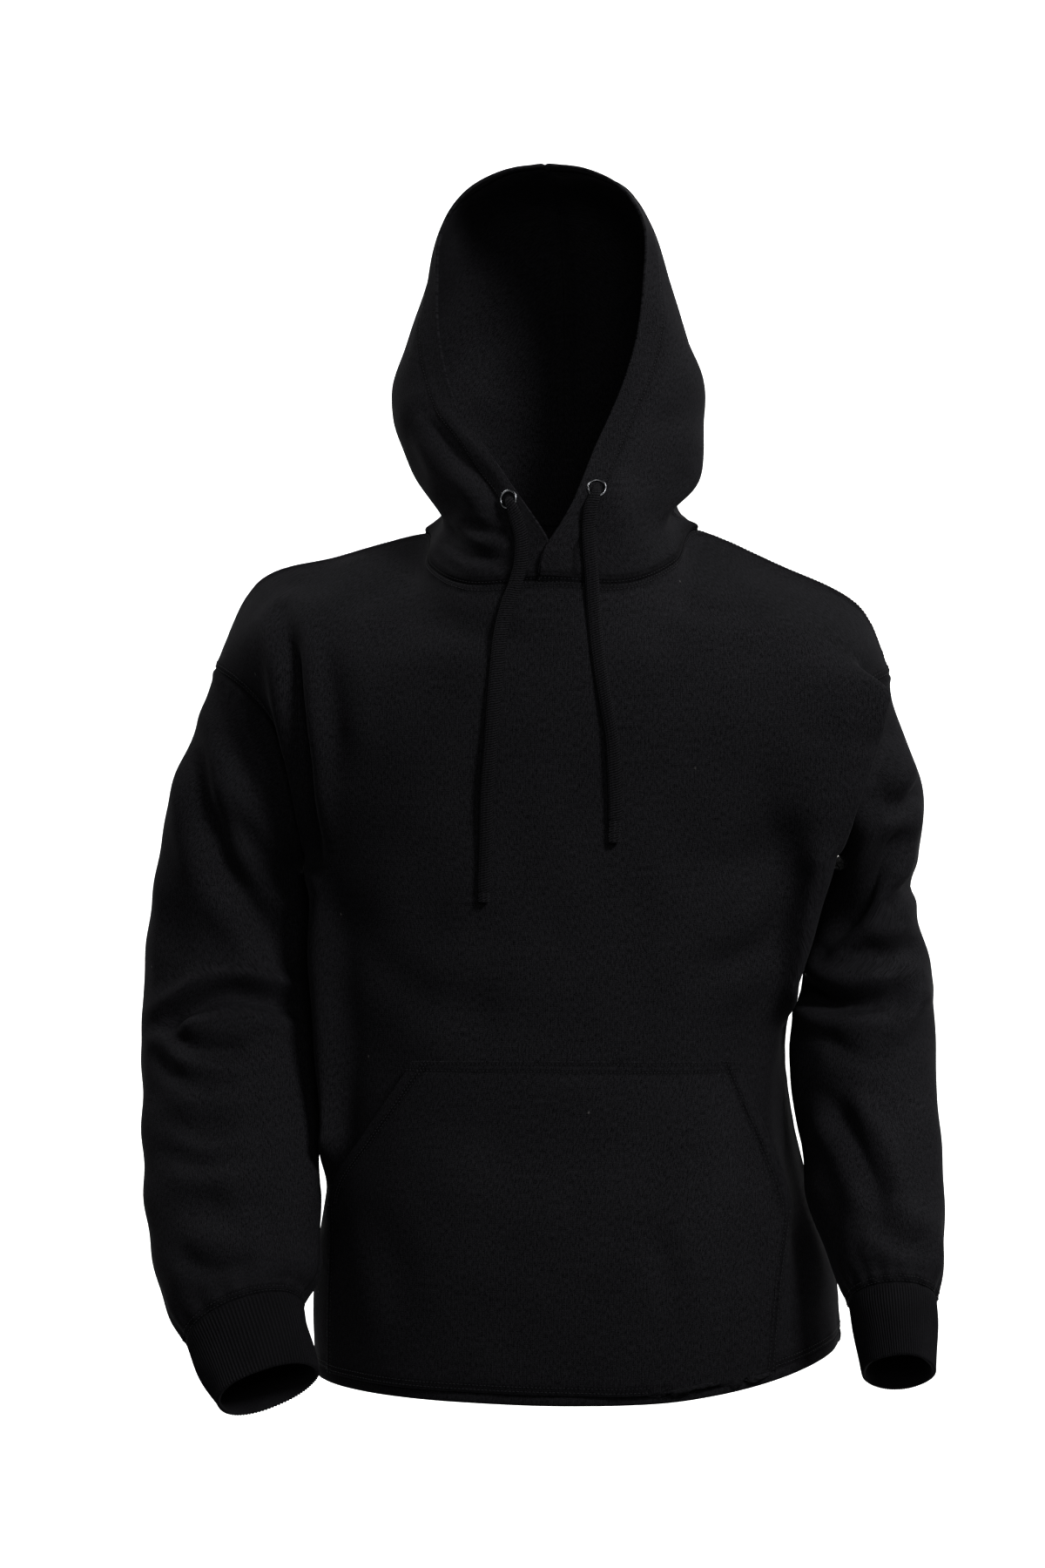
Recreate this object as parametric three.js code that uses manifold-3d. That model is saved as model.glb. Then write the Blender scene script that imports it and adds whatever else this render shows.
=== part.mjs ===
// A pullover hoodie in brushed fleece, in the hollow form it has when it is worn with the hood up.
// Millimetres, +Z up. The front faces -Y and the wearer's left is +X.
// The origin is the base of the neck, midway between the shoulders.
import * as THREE from 'three';
import { mergeVertices } from 'three/addons/utils/BufferGeometryUtils.js';
import Module from 'manifold-3d';

const wasm = await Module();
wasm.setup();

const RIGHT = -1;
const LEFT = 1;

// Cloth and seams
const BODY_WALL = 2.0;
const SLEEVE_WALL = 2.0;
const HOOD_WALL = 2.6;
const HEM_WALL = 3.0;
const CUFF_WALL = 2.2;
const SEAM_GAP = 0.3;

// Grid of the panels: how many strips each stretch is divided in
const NECK_STRIPS_FRONT = 6;
const NECK_STRIPS_BACK = 5;
const SHOULDER_STRIPS = 7;
const POCKET_ROWS = 7;
const WAIST_ROWS = 5;
const ARMHOLE_ROWS = 10;
const SLEEVE_SEGMENTS = 2 * ARMHOLE_ROWS;
const SLEEVE_RINGS = 28;
const HOOD_ROWS = 20;

// Where the neck point lies between the centre line (0) and the side edge (1) of a panel
const NECK_POINT = 0.55;
const GUIDES = [0, 0.2, 0.38, NECK_POINT, 0.7, 0.85, 1];

// Level sections of the body below the armpit: height, middle, half width, how far back the side
// seams hang, depths to the front and back, how far the centre front has drifted round (degrees),
// and the lift of the wearer's left side.
const BODY_SECTIONS = [
  { z: -661, mid: 8, half: 208, side: 8, front: 156, back: 130, drift: 0, lift: 26 },
  { z: -600, mid: 5, half: 206, side: 16, front: 165, back: 122, drift: 1, lift: 14 },
  { z: -535, mid: 0, half: 193, side: 20, front: 166, back: 114, drift: 3, lift: 4 },
  { z: -470, mid: -4, half: 182, side: 18, front: 159, back: 110, drift: 6, lift: 0 },
  { z: -405, mid: -6, half: 179, side: 10, front: 148, back: 112, drift: 7, lift: 0 },
  { z: -335, mid: -1, half: 191, side: 6, front: 140, back: 116, drift: 5, lift: 0 },
  { z: -265, mid: -3, half: 200, side: 5, front: 137, back: 118, drift: 2, lift: 0 },
];
const BODY_SQUARENESS = 0.84;

// The shoulder part of each panel, from the armpit up to the shoulder seam and neckline. Each row runs
// from the centre line to the strip beside the armhole: distance out, distance forward, height.
const FRONT_SHOULDER = [
  [[0, 132, -216], [66, 129, -214], [116, 119, -212], [156, 105, -210], [182, 88, -210], [198, 66, -214]],
  [[0, 133, -158], [60, 130, -155], [108, 124, -152], [150, 114, -150], [182, 101, -150], [208, 82, -152]],
  [[2, 126, -106], [58, 120, -104], [98, 106, -96], [138, 86, -84], [190, 76, -82], [238, 60, -90]],
  [[0, 113, -52], [62, 99, -54], [98, 58, -36], [112, -2, -6], [180, -4, -23], [245, -4, -43]],
];
const BACK_SHOULDER = [
  [[0, -125, -204], [60, -124, -204], [110, -120, -205], [150, -110, -206], [180, -94, -208], [196, -72, -214]],
  [[0, -130, -134], [54, -129, -134], [98, -127, -136], [140, -121, -138], [176, -110, -142], [206, -90, -150]],
  [[0, -118, -60], [48, -117, -60], [88, -114, -62], [132, -106, -68], [184, -92, -76], [236, -66, -88]],
  [[0, -100, 8], [52, -92, 8], [92, -60, 4], [112, -2, -6], [180, -4, -23], [245, -4, -43]],
];

// How far each shoulder reaches, against the tables above, and how much lower the left one lies
const REACH = { [RIGHT]: 1.02, [LEFT]: 0.94 };
const LEFT_SHOULDER_DROP = [0, 0, 0, 0, 11, 23];

// Sections of a sleeve from the armhole to the cuff: middle of the section, half size across and
// deep, and how much higher the outer edge stands than the inner one.
const RIGHT_SLEEVE = [
  { x: -247, y: 5, z: -190, across: 59, deep: 66, slant: 62 },
  { x: -262, y: 9, z: -236, across: 60, deep: 65, slant: 30 },
  { x: -271, y: 12, z: -290, across: 66, deep: 62, slant: 6 },
  { x: -271, y: 10, z: -348, across: 73, deep: 60, slant: 0 },
  { x: -264, y: -14, z: -416, across: 76, deep: 60, slant: 0 },
  { x: -259, y: -46, z: -484, across: 72, deep: 58, slant: 0 },
  { x: -251, y: -80, z: -548, across: 66, deep: 54, slant: 0 },
  { x: -242, y: -105, z: -592, across: 59, deep: 50, slant: 0 },
  { x: -231, y: -124, z: -619, across: 46, deep: 36, slant: 0 },
];
const LEFT_SLEEVE = [
  { x: 233, y: 5, z: -190, across: 42, deep: 66, slant: 60 },
  { x: 247, y: 12, z: -236, across: 35, deep: 65, slant: 33 },
  { x: 243, y: 20, z: -290, across: 30, deep: 66, slant: 6 },
  { x: 238, y: 22, z: -345, across: 47, deep: 62, slant: 0 },
  { x: 238, y: 2, z: -408, across: 52, deep: 58, slant: 0 },
  { x: 243, y: -34, z: -470, across: 50, deep: 54, slant: 0 },
  { x: 252, y: -76, z: -533, across: 47, deep: 50, slant: 0 },
  { x: 257, y: -100, z: -572, across: 42, deep: 46, slant: 0 },
  { x: 259, y: -114, z: -592, across: 32, deep: 38, slant: 0 },
];
const ARMHOLE_INSET = 20;
const ARMHOLE_RISE = 34;

// Cuffs: far end of the cuff, half sizes there, and the ribs around it
const CUFF_RIBS = 96;
const CUFF_RIB_HEIGHT = 0.5;
const CUFF_FACETS_PER_RIB = 2;
const RIGHT_CUFF = { x: -206, y: -160, z: -660, across: 40, deep: 28 };
const LEFT_CUFF = { x: 264, y: -142, z: -638, across: 26, deep: 36 };

// One half of the hood, row by row from the neck up: the edge of the face opening, cheek, side,
// behind the ear and centre seam. Distance out, distance forward, height.
const HOOD_SECTIONS = [
  [[2, 114, -24], [58, 96, -16], [106, 26, 12], [80, -72, 34], [0, -104, 36]],
  [[21, 107, 10], [68, 86, 22], [117, 8, 46], [82, -82, 62], [0, -112, 64]],
  [[42, 84, 50], [88, 64, 60], [124, -2, 80], [86, -92, 92], [0, -122, 92]],
  [[62, 62, 86], [103, 42, 96], [124, -12, 112], [88, -98, 122], [0, -130, 120]],
  [[77, 42, 136], [103, 22, 140], [112, -24, 150], [84, -102, 158], [0, -134, 156]],
  [[82, 25, 186], [94, 4, 190], [97, -36, 196], [74, -98, 200], [0, -128, 198]],
  [[81, 10, 232], [84, -12, 236], [82, -48, 240], [60, -90, 240], [0, -114, 236]],
  [[63, 4, 263], [67, -18, 265], [62, -50, 266], [44, -86, 260], [0, -104, 250]],
  [[34, -2, 280], [36, -26, 282], [34, -54, 280], [24, -82, 271], [0, -98, 260]],
  [[0, -4, 285], [0, -28, 287], [0, -56, 285], [0, -82, 277], [0, -94, 268]],
];
const HOOD_LEAN = [
  { z: -60, x: 3 },
  { z: 0, x: 1 },
  { z: 28, x: -4 },
  { z: 55, x: -10 },
  { z: 85, x: -16 },
  { z: 300, x: -18 },
];

// The hem band: how much of it shows below the seam
const HEM_HEIGHT = 9;

// The kangaroo pocket on the front: its outline from the front, and how far it stands off
const POCKET = {
  topLeft: 140,
  topRight: -100,
  topZ: -417,
  openingLeft: 173,
  openingRight: -172,
  openingZ: -530,
  sideLeft: 168,
  sideRight: -174,
  bottomZ: -668,
  seat: 0.6,
  puff: 7,
  wall: 2.0,
};

// Folds pressed into the cloth: the route as seen from the front (across, up), the side of the
// piece that it lies on, its depth and its half width. A negative depth is a ridge.
const SLEEVE_FOLDS = {
  [RIGHT]: [
    { face: 'front', depth: 9, width: 15, route: [[-273, -125], [-258, -165], [-240, -205], [-214, -238]] },
    { face: 'front', depth: 8, width: 17, route: [[-286, -190], [-272, -245], [-252, -292], [-210, -350]] },
    { face: 'front', depth: -5, width: 14, route: [[-280, -360], [-240, -358], [-200, -370]] },
    { face: 'front', depth: 10, width: 11, route: [[-320, -396], [-286, -383], [-250, -374], [-193, -386]] },
    { face: 'front', depth: 5, width: 13, route: [[-305, -400], [-280, -414], [-240, -413]] },
    { face: 'front', depth: 4, width: 14, route: [[-265, -524], [-240, -532], [-215, -528]] },
    { face: 'back', depth: 7, width: 18, route: [[-300, -180], [-285, -240], [-255, -300]] },
    { face: 'back', depth: 6, width: 15, route: [[-320, -330], [-270, -350], [-215, -345]] },
    { face: 'back', depth: 5, width: 14, route: [[-310, -470], [-265, -492], [-220, -480]] },
  ],
  [LEFT]: [
    { face: 'front', depth: 8, width: 14, route: [[263, -155], [252, -184], [240, -212]] },
    { face: 'front', depth: 9, width: 14, route: [[284, -212], [262, -222], [246, -222]] },
    { face: 'front', depth: 11, width: 12, route: [[270, -236], [254, -264], [231, -297], [204, -331]] },
    { face: 'any', depth: 5, width: 11, route: [[272, -284], [262, -294], [254, -304]] },
    { face: 'front', depth: 13, width: 12, route: [[182, -366], [208, -374], [232, -375], [258, -373]] },
    { face: 'front', depth: -6, width: 12, route: [[282, -366], [270, -384], [258, -406]] },
    { face: 'front', depth: 6, width: 13, route: [[209, -448], [230, -475], [250, -511], [254, -524]] },
    { face: 'back', depth: 7, width: 17, route: [[280, -190], [262, -240], [236, -290]] },
    { face: 'back', depth: 6, width: 15, route: [[280, -400], [245, -415], [205, -405]] },
  ],
};
const FRONT_FOLDS = [
  { face: 'front', depth: 12, width: 13, route: [[-214, -80], [-202, -110], [-196, -155], [-192, -215], [-192, -262]] },
  { face: 'front', depth: 8, width: 11, route: [[184, -395], [178, -430], [180, -470], [191, -515], [191, -590]] },
  { face: 'front', depth: 5, width: 22, route: [[-150, -330], [-90, -372], [-20, -386]] },
];
const BACK_FOLDS = [
  { face: 'back', depth: 7, width: 22, route: [[-185, -250], [-130, -300], [-60, -330]] },
  { face: 'back', depth: 7, width: 22, route: [[180, -260], [130, -320], [70, -360]] },
  { face: 'back', depth: 8, width: 24, route: [[-80, -640], [-88, -540], [-70, -440]] },
  { face: 'back', depth: 7, width: 24, route: [[70, -640], [84, -530], [60, -450]] },
];
const HOOD_FOLDS = {
  [RIGHT]: [
    { face: 'front', depth: 6, width: 11, route: [[-108, 84], [-82, 52], [-54, 26], [-38, 0]] },
    { face: 'back', depth: 6, width: 18, route: [[-84, 30], [-60, 60], [-20, 74]] },
  ],
  [LEFT]: [
    { face: 'front', depth: 4, width: 14, route: [[92, 88], [74, 52], [60, 10]] },
    { face: 'back', depth: 6, width: 18, route: [[76, 36], [50, 66], [14, 78]] },
  ],
};

// Eyelets, by their place on the hood: rows up from the neck and share of the way round
const EYELET = { outer: 7.6, hole: 4.0, thick: 1.6 };
const EYELET_PLACE = { [RIGHT]: { up: 1.92, round: 0.05, lift: 0.9 }, [LEFT]: { up: 2.08, round: 0.075, lift: 0.9 } };

// Drawcords: each comes out of its eyelet and hangs down on the chest to its free end
const CORD_DIAMETER = 7.5;
const CORD_FACETS = 10;
const CORD_STEP = 20;
const CORD_ROUTES = {
  [RIGHT]: [
    [-29, -110, 6], [-25, -112, -3], [-20, -114, -20], [-20, -115, -38], [-24, -117, -56], [-29, -120, -70],
    [-34, -126, -94], [-36, -132, -120], [-38, -136, -150], [-41, -137, -189], [-43, -136, -215],
    [-44, -135, -249], [-45, -135, -276], [-45, -136, -296],
  ],
  [LEFT]: [
    [36, -109.5, 12], [33, -112, 2], [31, -112, -14], [32, -113, -32], [34, -115, -52], [36, -120, -79],
    [40, -128, -109], [46, -134, -143], [51, -136, -169], [53, -136, -196], [54, -135, -223], [53, -135, -251],
  ],
};

const FABRIC = 0x0f0f11;
const SATIN_METAL = 0xb9bbbe;

function material(color, roughness, metalness) {
  return new THREE.MeshStandardMaterial({ color, roughness, metalness });
}

function vec(x, y, z) {
  return new THREE.Vector3(x, y, z);
}

// Catmull-Rom weights through uneven stations
function spline(stations, values, t) {
  const last = stations.length - 1;
  let i = 0;
  while (i < last - 1 && t > stations[i + 1]) {
    i += 1;
  }
  const h = stations[i + 1] - stations[i];
  const s = (t - stations[i]) / h;
  const slope = (k) => {
    const a = Math.max(k - 1, 0);
    const b = Math.min(k + 1, last);
    return (values[b] - values[a]) / (stations[b] - stations[a]);
  };
  const s2 = s * s;
  const s3 = s2 * s;
  return (2 * s3 - 3 * s2 + 1) * values[i] + (s3 - 2 * s2 + s) * h * slope(i)
    + (3 * s2 - 2 * s3) * values[i + 1] + (s3 - s2) * h * slope(i + 1);
}

function splinePoint(stations, points, t) {
  return vec(
    spline(stations, points.map((p) => p.x), t),
    spline(stations, points.map((p) => p.y), t),
    spline(stations, points.map((p) => p.z), t),
  );
}

function column(rows, name, stations, t) {
  return spline(stations, rows.map((row) => row[name]), t);
}

function evenly(from, to, count) {
  return Array.from({ length: count + 1 }, (_, i) => from + ((to - from) * i) / count);
}

function power(value, exponent) {
  return Math.sign(value) * Math.abs(value) ** exponent;
}

// The body below the armpit, at a turn (radians) round from the centre front
function bodyPoint(row, turn) {
  const side = Math.sin(turn);
  const ahead = Math.cos(turn);
  const depth = ahead > 0 ? row.front : row.back;
  const lift = side > 0 ? row.lift * side * side : 0;
  return vec(
    row.mid + row.half * power(side, BODY_SQUARENESS),
    row.side - depth * power(ahead, BODY_SQUARENESS),
    row.z + lift,
  );
}

// A sleeve ring: frame of the arm and the ring's points
function sleevePoint(rows, side, along, turn) {
  const stations = rows.map((_, i) => i);
  const at = (t) => vec(
    column(rows, 'x', stations, t),
    column(rows, 'y', stations, t),
    column(rows, 'z', stations, t),
  );
  const middle = at(along);
  const step = 0.05;
  const axis = at(Math.min(along + step, rows.length - 1)).sub(at(Math.max(along - step, 0))).normalize();
  const out = vec(side, 0, 0).addScaledVector(axis, -side * axis.x).normalize();
  const ahead = vec(0, -1, 0).addScaledVector(axis, axis.y).addScaledVector(out, out.y).normalize();
  const across = column(rows, 'across', stations, along);
  const deep = column(rows, 'deep', stations, along);
  const slant = column(rows, 'slant', stations, along);
  const crown = Math.max(0, 1 - along) * Math.sin(turn) ** 2;
  return middle
    .addScaledVector(out, across * Math.cos(turn) - ARMHOLE_INSET * crown)
    .addScaledVector(ahead, deep * Math.sin(turn))
    .addScaledVector(axis, -slant * Math.cos(turn) - ARMHOLE_RISE * crown);
}

function sleeveRows(side) {
  return side === RIGHT ? RIGHT_SLEEVE : LEFT_SLEEVE;
}

// Control net of a panel: rows of points at the guide columns, from the wearer's right to left
const UP_STATIONS = [...BODY_SECTIONS.map((row) => row.z), -205, -150, -95, -40];
const ARMPIT_Z = BODY_SECTIONS[BODY_SECTIONS.length - 1].z;
const TOP_Z = -40;

function across(guides) {
  return [...guides.slice(1).reverse().map((u) => -u), ...guides];
}

const NET_COLUMNS = across(GUIDES);

function panelNet(isFront) {
  const table = isFront ? FRONT_SHOULDER : BACK_SHOULDER;
  const net = BODY_SECTIONS.map((row) => NET_COLUMNS.map((u) => {
    const drift = (1 - u * u) * (row.drift * Math.PI) / 180;
    const turn = (u * Math.PI) / 2 + drift;
    return bodyPoint(row, isFront ? turn : Math.PI - (u * Math.PI) / 2);
  }));
  table.forEach((row, k) => {
    const turn = Math.PI * (1 - (k + 1) / table.length);
    net.push(NET_COLUMNS.map((u) => {
      const side = u < 0 ? RIGHT : LEFT;
      const guide = GUIDES.indexOf(Math.abs(u));
      if (guide === GUIDES.length - 1) {
        return sleevePoint(sleeveRows(side), side, 0, isFront ? turn : -turn);
      }
      const [out, forward, up] = row[guide];
      const drop = side === LEFT ? (LEFT_SHOULDER_DROP[guide] * (k + 1)) / table.length : 0;
      return vec(side * out * REACH[side], -forward, up - drop);
    }));
  });
  const armpit = BODY_SECTIONS.length - 1;
  [RIGHT, LEFT].forEach((side) => {
    const edge = side === RIGHT ? 0 : NET_COLUMNS.length - 1;
    net[armpit][edge] = sleevePoint(sleeveRows(side), side, 0, Math.PI);
  });
  return net;
}

const NETS = { front: panelNet(true), back: panelNet(false) };

function netPoint(net, u, level) {
  const rows = net.map((row) => splinePoint(NET_COLUMNS, row, u));
  return splinePoint(UP_STATIONS, rows, level);
}

// A panel's own points. The armhole edge is the sleeve's first ring, and both panels share the
// points of the side and shoulder seams.
function panelPoint(name, u, level) {
  if (Math.abs(u) === 1 && level >= ARMPIT_Z) {
    const side = u < 0 ? RIGHT : LEFT;
    const turn = Math.PI * (1 - (level - ARMPIT_Z) / (TOP_Z - ARMPIT_Z));
    return sleevePoint(sleeveRows(side), side, 0, name === 'front' ? turn : -turn);
  }
  const onSideSeam = Math.abs(u) === 1;
  const onShoulderSeam = level === TOP_Z && Math.abs(u) >= NECK_POINT;
  if (onSideSeam || onShoulderSeam) {
    return netPoint(NETS.front, u, level).lerp(netPoint(NETS.back, u, level), 0.5);
  }
  return netPoint(NETS[name], u, level);
}

function panelColumns(neckStrips) {
  const half = [...evenly(0, NECK_POINT, neckStrips), ...evenly(NECK_POINT, 1, SHOULDER_STRIPS).slice(1)];
  return across(half);
}

const POCKET_LEVEL = -418;
const PANEL_LEVELS = [
  ...evenly(BODY_SECTIONS[0].z, POCKET_LEVEL, POCKET_ROWS),
  ...evenly(POCKET_LEVEL, ARMPIT_Z, WAIST_ROWS).slice(1),
  ...evenly(ARMPIT_Z, TOP_Z, ARMHOLE_ROWS).slice(1),
];

// Outward direction at each point of a grid, by differences
function gridNormals(grid, flip, wraps) {
  const rows = grid.length;
  const cols = grid[0].length;
  return grid.map((line, j) => line.map((_, i) => {
    const before = wraps ? (i + cols - 1) % cols : Math.max(i - 1, 0);
    const after = wraps ? (i + 1) % cols : Math.min(i + 1, cols - 1);
    const du = grid[j][after].clone().sub(grid[j][before]);
    const dv = grid[Math.min(j + 1, rows - 1)][i].clone().sub(grid[Math.max(j - 1, 0)][i]);
    return du.cross(dv).multiplyScalar(flip ? -1 : 1).normalize();
  }));
}

// Distance from a point to a route, both seen from the front
function routeDistance(route, x, z) {
  let best = Infinity;
  for (let i = 0; i < route.length - 1; i += 1) {
    const [ax, az] = route[i];
    const [bx, bz] = route[i + 1];
    const dx = bx - ax;
    const dz = bz - az;
    const t = THREE.MathUtils.clamp(((x - ax) * dx + (z - az) * dz) / (dx * dx + dz * dz), 0, 1);
    best = Math.min(best, Math.hypot(x - ax - t * dx, z - az - t * dz));
  }
  return best;
}

// Press folds into a grid. The share says how much of a fold is left near the seams.
function pressFolds(grid, normals, folds, share) {
  grid.forEach((line, j) => line.forEach((p, i) => {
    const n = normals[j][i];
    const facing = { front: -n.y, back: n.y, any: 1 };
    const push = folds.reduce((sum, fold) => {
      const near = Math.exp(-((routeDistance(fold.route, p.x, p.z) / fold.width) ** 2));
      return sum + fold.depth * near * THREE.MathUtils.smoothstep(facing[fold.face], 0, 0.45);
    }, 0);
    p.addScaledVector(n, -push * share(j, i));
  }));
}

// Outward direction that both sides of a seam share
function bodySeamNormal(point, level) {
  const stations = BODY_SECTIONS.map((row) => row.z);
  const mid = column(BODY_SECTIONS, 'mid', stations, Math.min(level, ARMPIT_Z));
  const side = column(BODY_SECTIONS, 'side', stations, Math.min(level, ARMPIT_Z));
  return vec(point.x - mid, point.y - side, 0).normalize();
}

function shoulderSeamNormal(tangent) {
  return vec(0, 0, 1).addScaledVector(tangent, -tangent.z).normalize();
}

function neckSeamNormal(point) {
  return vec(point.x, point.y * 1.1, 0).normalize().multiplyScalar(0.75).add(vec(0, 0, 0.66)).normalize();
}

// The armhole seam: its points, the outward direction that body and sleeve share there, and the
// direction across the seam, from the body to the sleeve. Under the arm the cloth faces down.
function armholeSeam(side) {
  const rows = sleeveRows(side);
  const middle = vec(rows[0].x, rows[0].y, rows[0].z);
  const axis = vec(rows[1].x, rows[1].y, rows[1].z).sub(middle).normalize();
  const turns = evenly(0, 2 * Math.PI, SLEEVE_SEGMENTS).slice(0, SLEEVE_SEGMENTS);
  const points = turns.map((turn) => sleevePoint(rows, side, 0, turn));
  return points.map((point, i) => {
    const radial = point.clone().sub(middle);
    radial.addScaledVector(axis, -radial.dot(axis)).normalize();
    const low = (1 - Math.cos(turns[i])) / 2;
    const bodyOut = radial.clone().lerp(vec(side, 0, 0), low).normalize();
    const outward = radial.add(bodyOut).normalize();
    const next = points[(i + 1) % SLEEVE_SEGMENTS];
    const previous = points[(i + SLEEVE_SEGMENTS - 1) % SLEEVE_SEGMENTS];
    const across = next.clone().sub(previous).cross(outward).normalize();
    across.multiplyScalar(Math.sign(across.dot(vec(side, 0, -0.4))));
    return { point, outward, across };
  });
}

const ARMHOLES = { [RIGHT]: armholeSeam(RIGHT), [LEFT]: armholeSeam(LEFT) };

// The armhole seam's entry beside a row of a panel
function armholeAt(side, isFront, row) {
  const up = row - (PANEL_LEVELS.length - 1 - ARMHOLE_ROWS);
  const index = isFront ? ARMHOLE_ROWS - up : (ARMHOLE_ROWS + up) % SLEEVE_SEGMENTS;
  return ARMHOLES[side][index];
}

// Pull the edge of a grid back from its seam, towards the next line of points
function easeEdge(points, inner, nextPoints, amount) {
  points.forEach((point, i) => {
    const pull = nextPoints[i].clone().sub(point).normalize().multiplyScalar(amount);
    point.add(pull);
    inner[i].add(pull);
  });
}

// A closed wall between an outer and an inner grid of points
function wallGeometry(outer, inner, wraps, outward) {
  const rows = outer.length;
  const cols = outer[0].length;
  const positions = [];
  [outer, inner].forEach((grid) => grid.forEach((line) => line.forEach((p) => positions.push(p.x, p.y, p.z))));
  const at = (layer, j, i) => layer * rows * cols + j * cols + (i % cols);
  const faces = [];
  const quad = (a, b, c, d) => {
    if (outward) {
      faces.push(a, b, c, a, c, d);
    } else {
      faces.push(a, c, b, a, d, c);
    }
  };
  const strips = wraps ? cols : cols - 1;
  for (let j = 0; j < rows - 1; j += 1) {
    for (let i = 0; i < strips; i += 1) {
      quad(at(0, j, i), at(0, j, i + 1), at(0, j + 1, i + 1), at(0, j + 1, i));
      quad(at(1, j, i), at(1, j + 1, i), at(1, j + 1, i + 1), at(1, j, i + 1));
    }
  }
  for (let i = 0; i < strips; i += 1) {
    quad(at(0, 0, i + 1), at(0, 0, i), at(1, 0, i), at(1, 0, i + 1));
    quad(at(0, rows - 1, i), at(0, rows - 1, i + 1), at(1, rows - 1, i + 1), at(1, rows - 1, i));
  }
  if (!wraps) {
    for (let j = 0; j < rows - 1; j += 1) {
      quad(at(0, j, 0), at(0, j + 1, 0), at(1, j + 1, 0), at(1, j, 0));
      quad(at(0, j + 1, cols - 1), at(0, j, cols - 1), at(1, j, cols - 1), at(1, j + 1, cols - 1));
    }
  }
  const geometry = new THREE.BufferGeometry();
  geometry.setAttribute('position', new THREE.Float32BufferAttribute(positions, 3));
  geometry.setIndex(faces);
  geometry.computeVertexNormals();
  return geometry;
}

function offsetGrid(grid, normals, distance) {
  return grid.map((line, j) => line.map((p, i) => p.clone().addScaledVector(normals[j][i], -distance)));
}

function meshOf(name, geometry, finish) {
  const mesh = new THREE.Mesh(geometry, finish);
  mesh.name = name;
  return mesh;
}

// Front or back panel: outer points, their outward directions and the finished wall
function buildPanel(name) {
  const isFront = name === 'front';
  const columns = panelColumns(isFront ? NECK_STRIPS_FRONT : NECK_STRIPS_BACK);
  const grid = PANEL_LEVELS.map((level) => columns.map((u) => panelPoint(name, u, level)));
  const last = columns.length - 1;
  const top = PANEL_LEVELS.length - 1;
  const share = (j, i) => (j === 0 || j === top || i === 0 || i === last ? 0 : 1);
  pressFolds(grid, gridNormals(grid, !isFront, false), isFront ? FRONT_FOLDS : BACK_FOLDS, share);
  const normals = gridNormals(grid, !isFront, false);
  PANEL_LEVELS.forEach((level, j) => {
    [0, last].forEach((i) => {
      const side = i === 0 ? RIGHT : LEFT;
      if (level >= ARMPIT_Z) {
        normals[j][i] = armholeAt(side, isFront, j).outward.clone();
      } else {
        normals[j][i] = bodySeamNormal(grid[j][i], level);
      }
    });
  });
  columns.forEach((u, i) => {
    normals[0][i] = bodySeamNormal(grid[0][i], PANEL_LEVELS[0]);
    if (Math.abs(u) < NECK_POINT) {
      normals[top][i] = neckSeamNormal(grid[top][i]);
    } else if (Math.abs(u) < 1) {
      const tangent = grid[top][Math.min(i + 1, last)].clone().sub(grid[top][Math.max(i - 1, 0)]).normalize();
      normals[top][i] = shoulderSeamNormal(tangent);
    }
  });
  const outer = grid.map((line) => line.map((p) => p.clone()));
  const inner = offsetGrid(grid, normals, BODY_WALL);
  const ease = SEAM_GAP / 2;
  const waistTop = POCKET_ROWS + WAIST_ROWS - 1;
  easeEdge(outer[top], inner[top], grid[top - 1], ease);
  easeEdge(outer[0], inner[0], grid[1], ease);
  [[0, 1, RIGHT], [last, last - 1, LEFT]].forEach(([edge, next, side]) => {
    PANEL_LEVELS.forEach((level, j) => {
      if (level >= ARMPIT_Z) {
        const pull = armholeAt(side, isFront, j).across.clone().multiplyScalar(-ease);
        outer[j][edge].add(pull);
        inner[j][edge].add(pull);
      }
      if (level <= ARMPIT_Z) {
        const pull = grid[Math.min(j, waistTop)][next].clone().sub(grid[Math.min(j, waistTop)][edge]);
        pull.normalize().multiplyScalar(ease);
        outer[j][edge].add(pull);
        inner[j][edge].add(pull);
      }
    });
  });
  return { grid, normals, columns, geometry: wallGeometry(outer, inner, false, isFront) };
}

const frontPanel = buildPanel('front');
const backPanel = buildPanel('back');

// A sleeve: its first ring is the armhole, its last ring is gathered into the cuff
function buildSleeve(side) {
  const rows = sleeveRows(side);
  const turns = evenly(0, 2 * Math.PI, SLEEVE_SEGMENTS).slice(0, SLEEVE_SEGMENTS);
  const alongs = evenly(0, rows.length - 1, SLEEVE_RINGS);
  const grid = alongs.map((along) => turns.map((turn) => sleevePoint(rows, side, along, turn)));
  const fade = (j) => THREE.MathUtils.smoothstep(Math.min(j, SLEEVE_RINGS - j), 0, 3);
  pressFolds(grid, gridNormals(grid, side === LEFT, true), SLEEVE_FOLDS[side], fade);
  const normals = gridNormals(grid, side === LEFT, true);
  normals[0] = ARMHOLES[side].map(({ outward }) => outward);
  const outer = grid.map((line) => line.map((p) => p.clone()));
  const inner = offsetGrid(grid, normals, SLEEVE_WALL);
  const last = alongs.length - 1;
  ARMHOLES[side].forEach(({ across }, i) => {
    outer[0][i].addScaledVector(across, SEAM_GAP / 2);
    inner[0][i].addScaledVector(across, SEAM_GAP / 2);
  });
  flattenRing(rows, side, outer[last]);
  flattenRing(rows, side, inner[last]);
  return wallGeometry(outer, inner, true, side === RIGHT);
}

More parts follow.
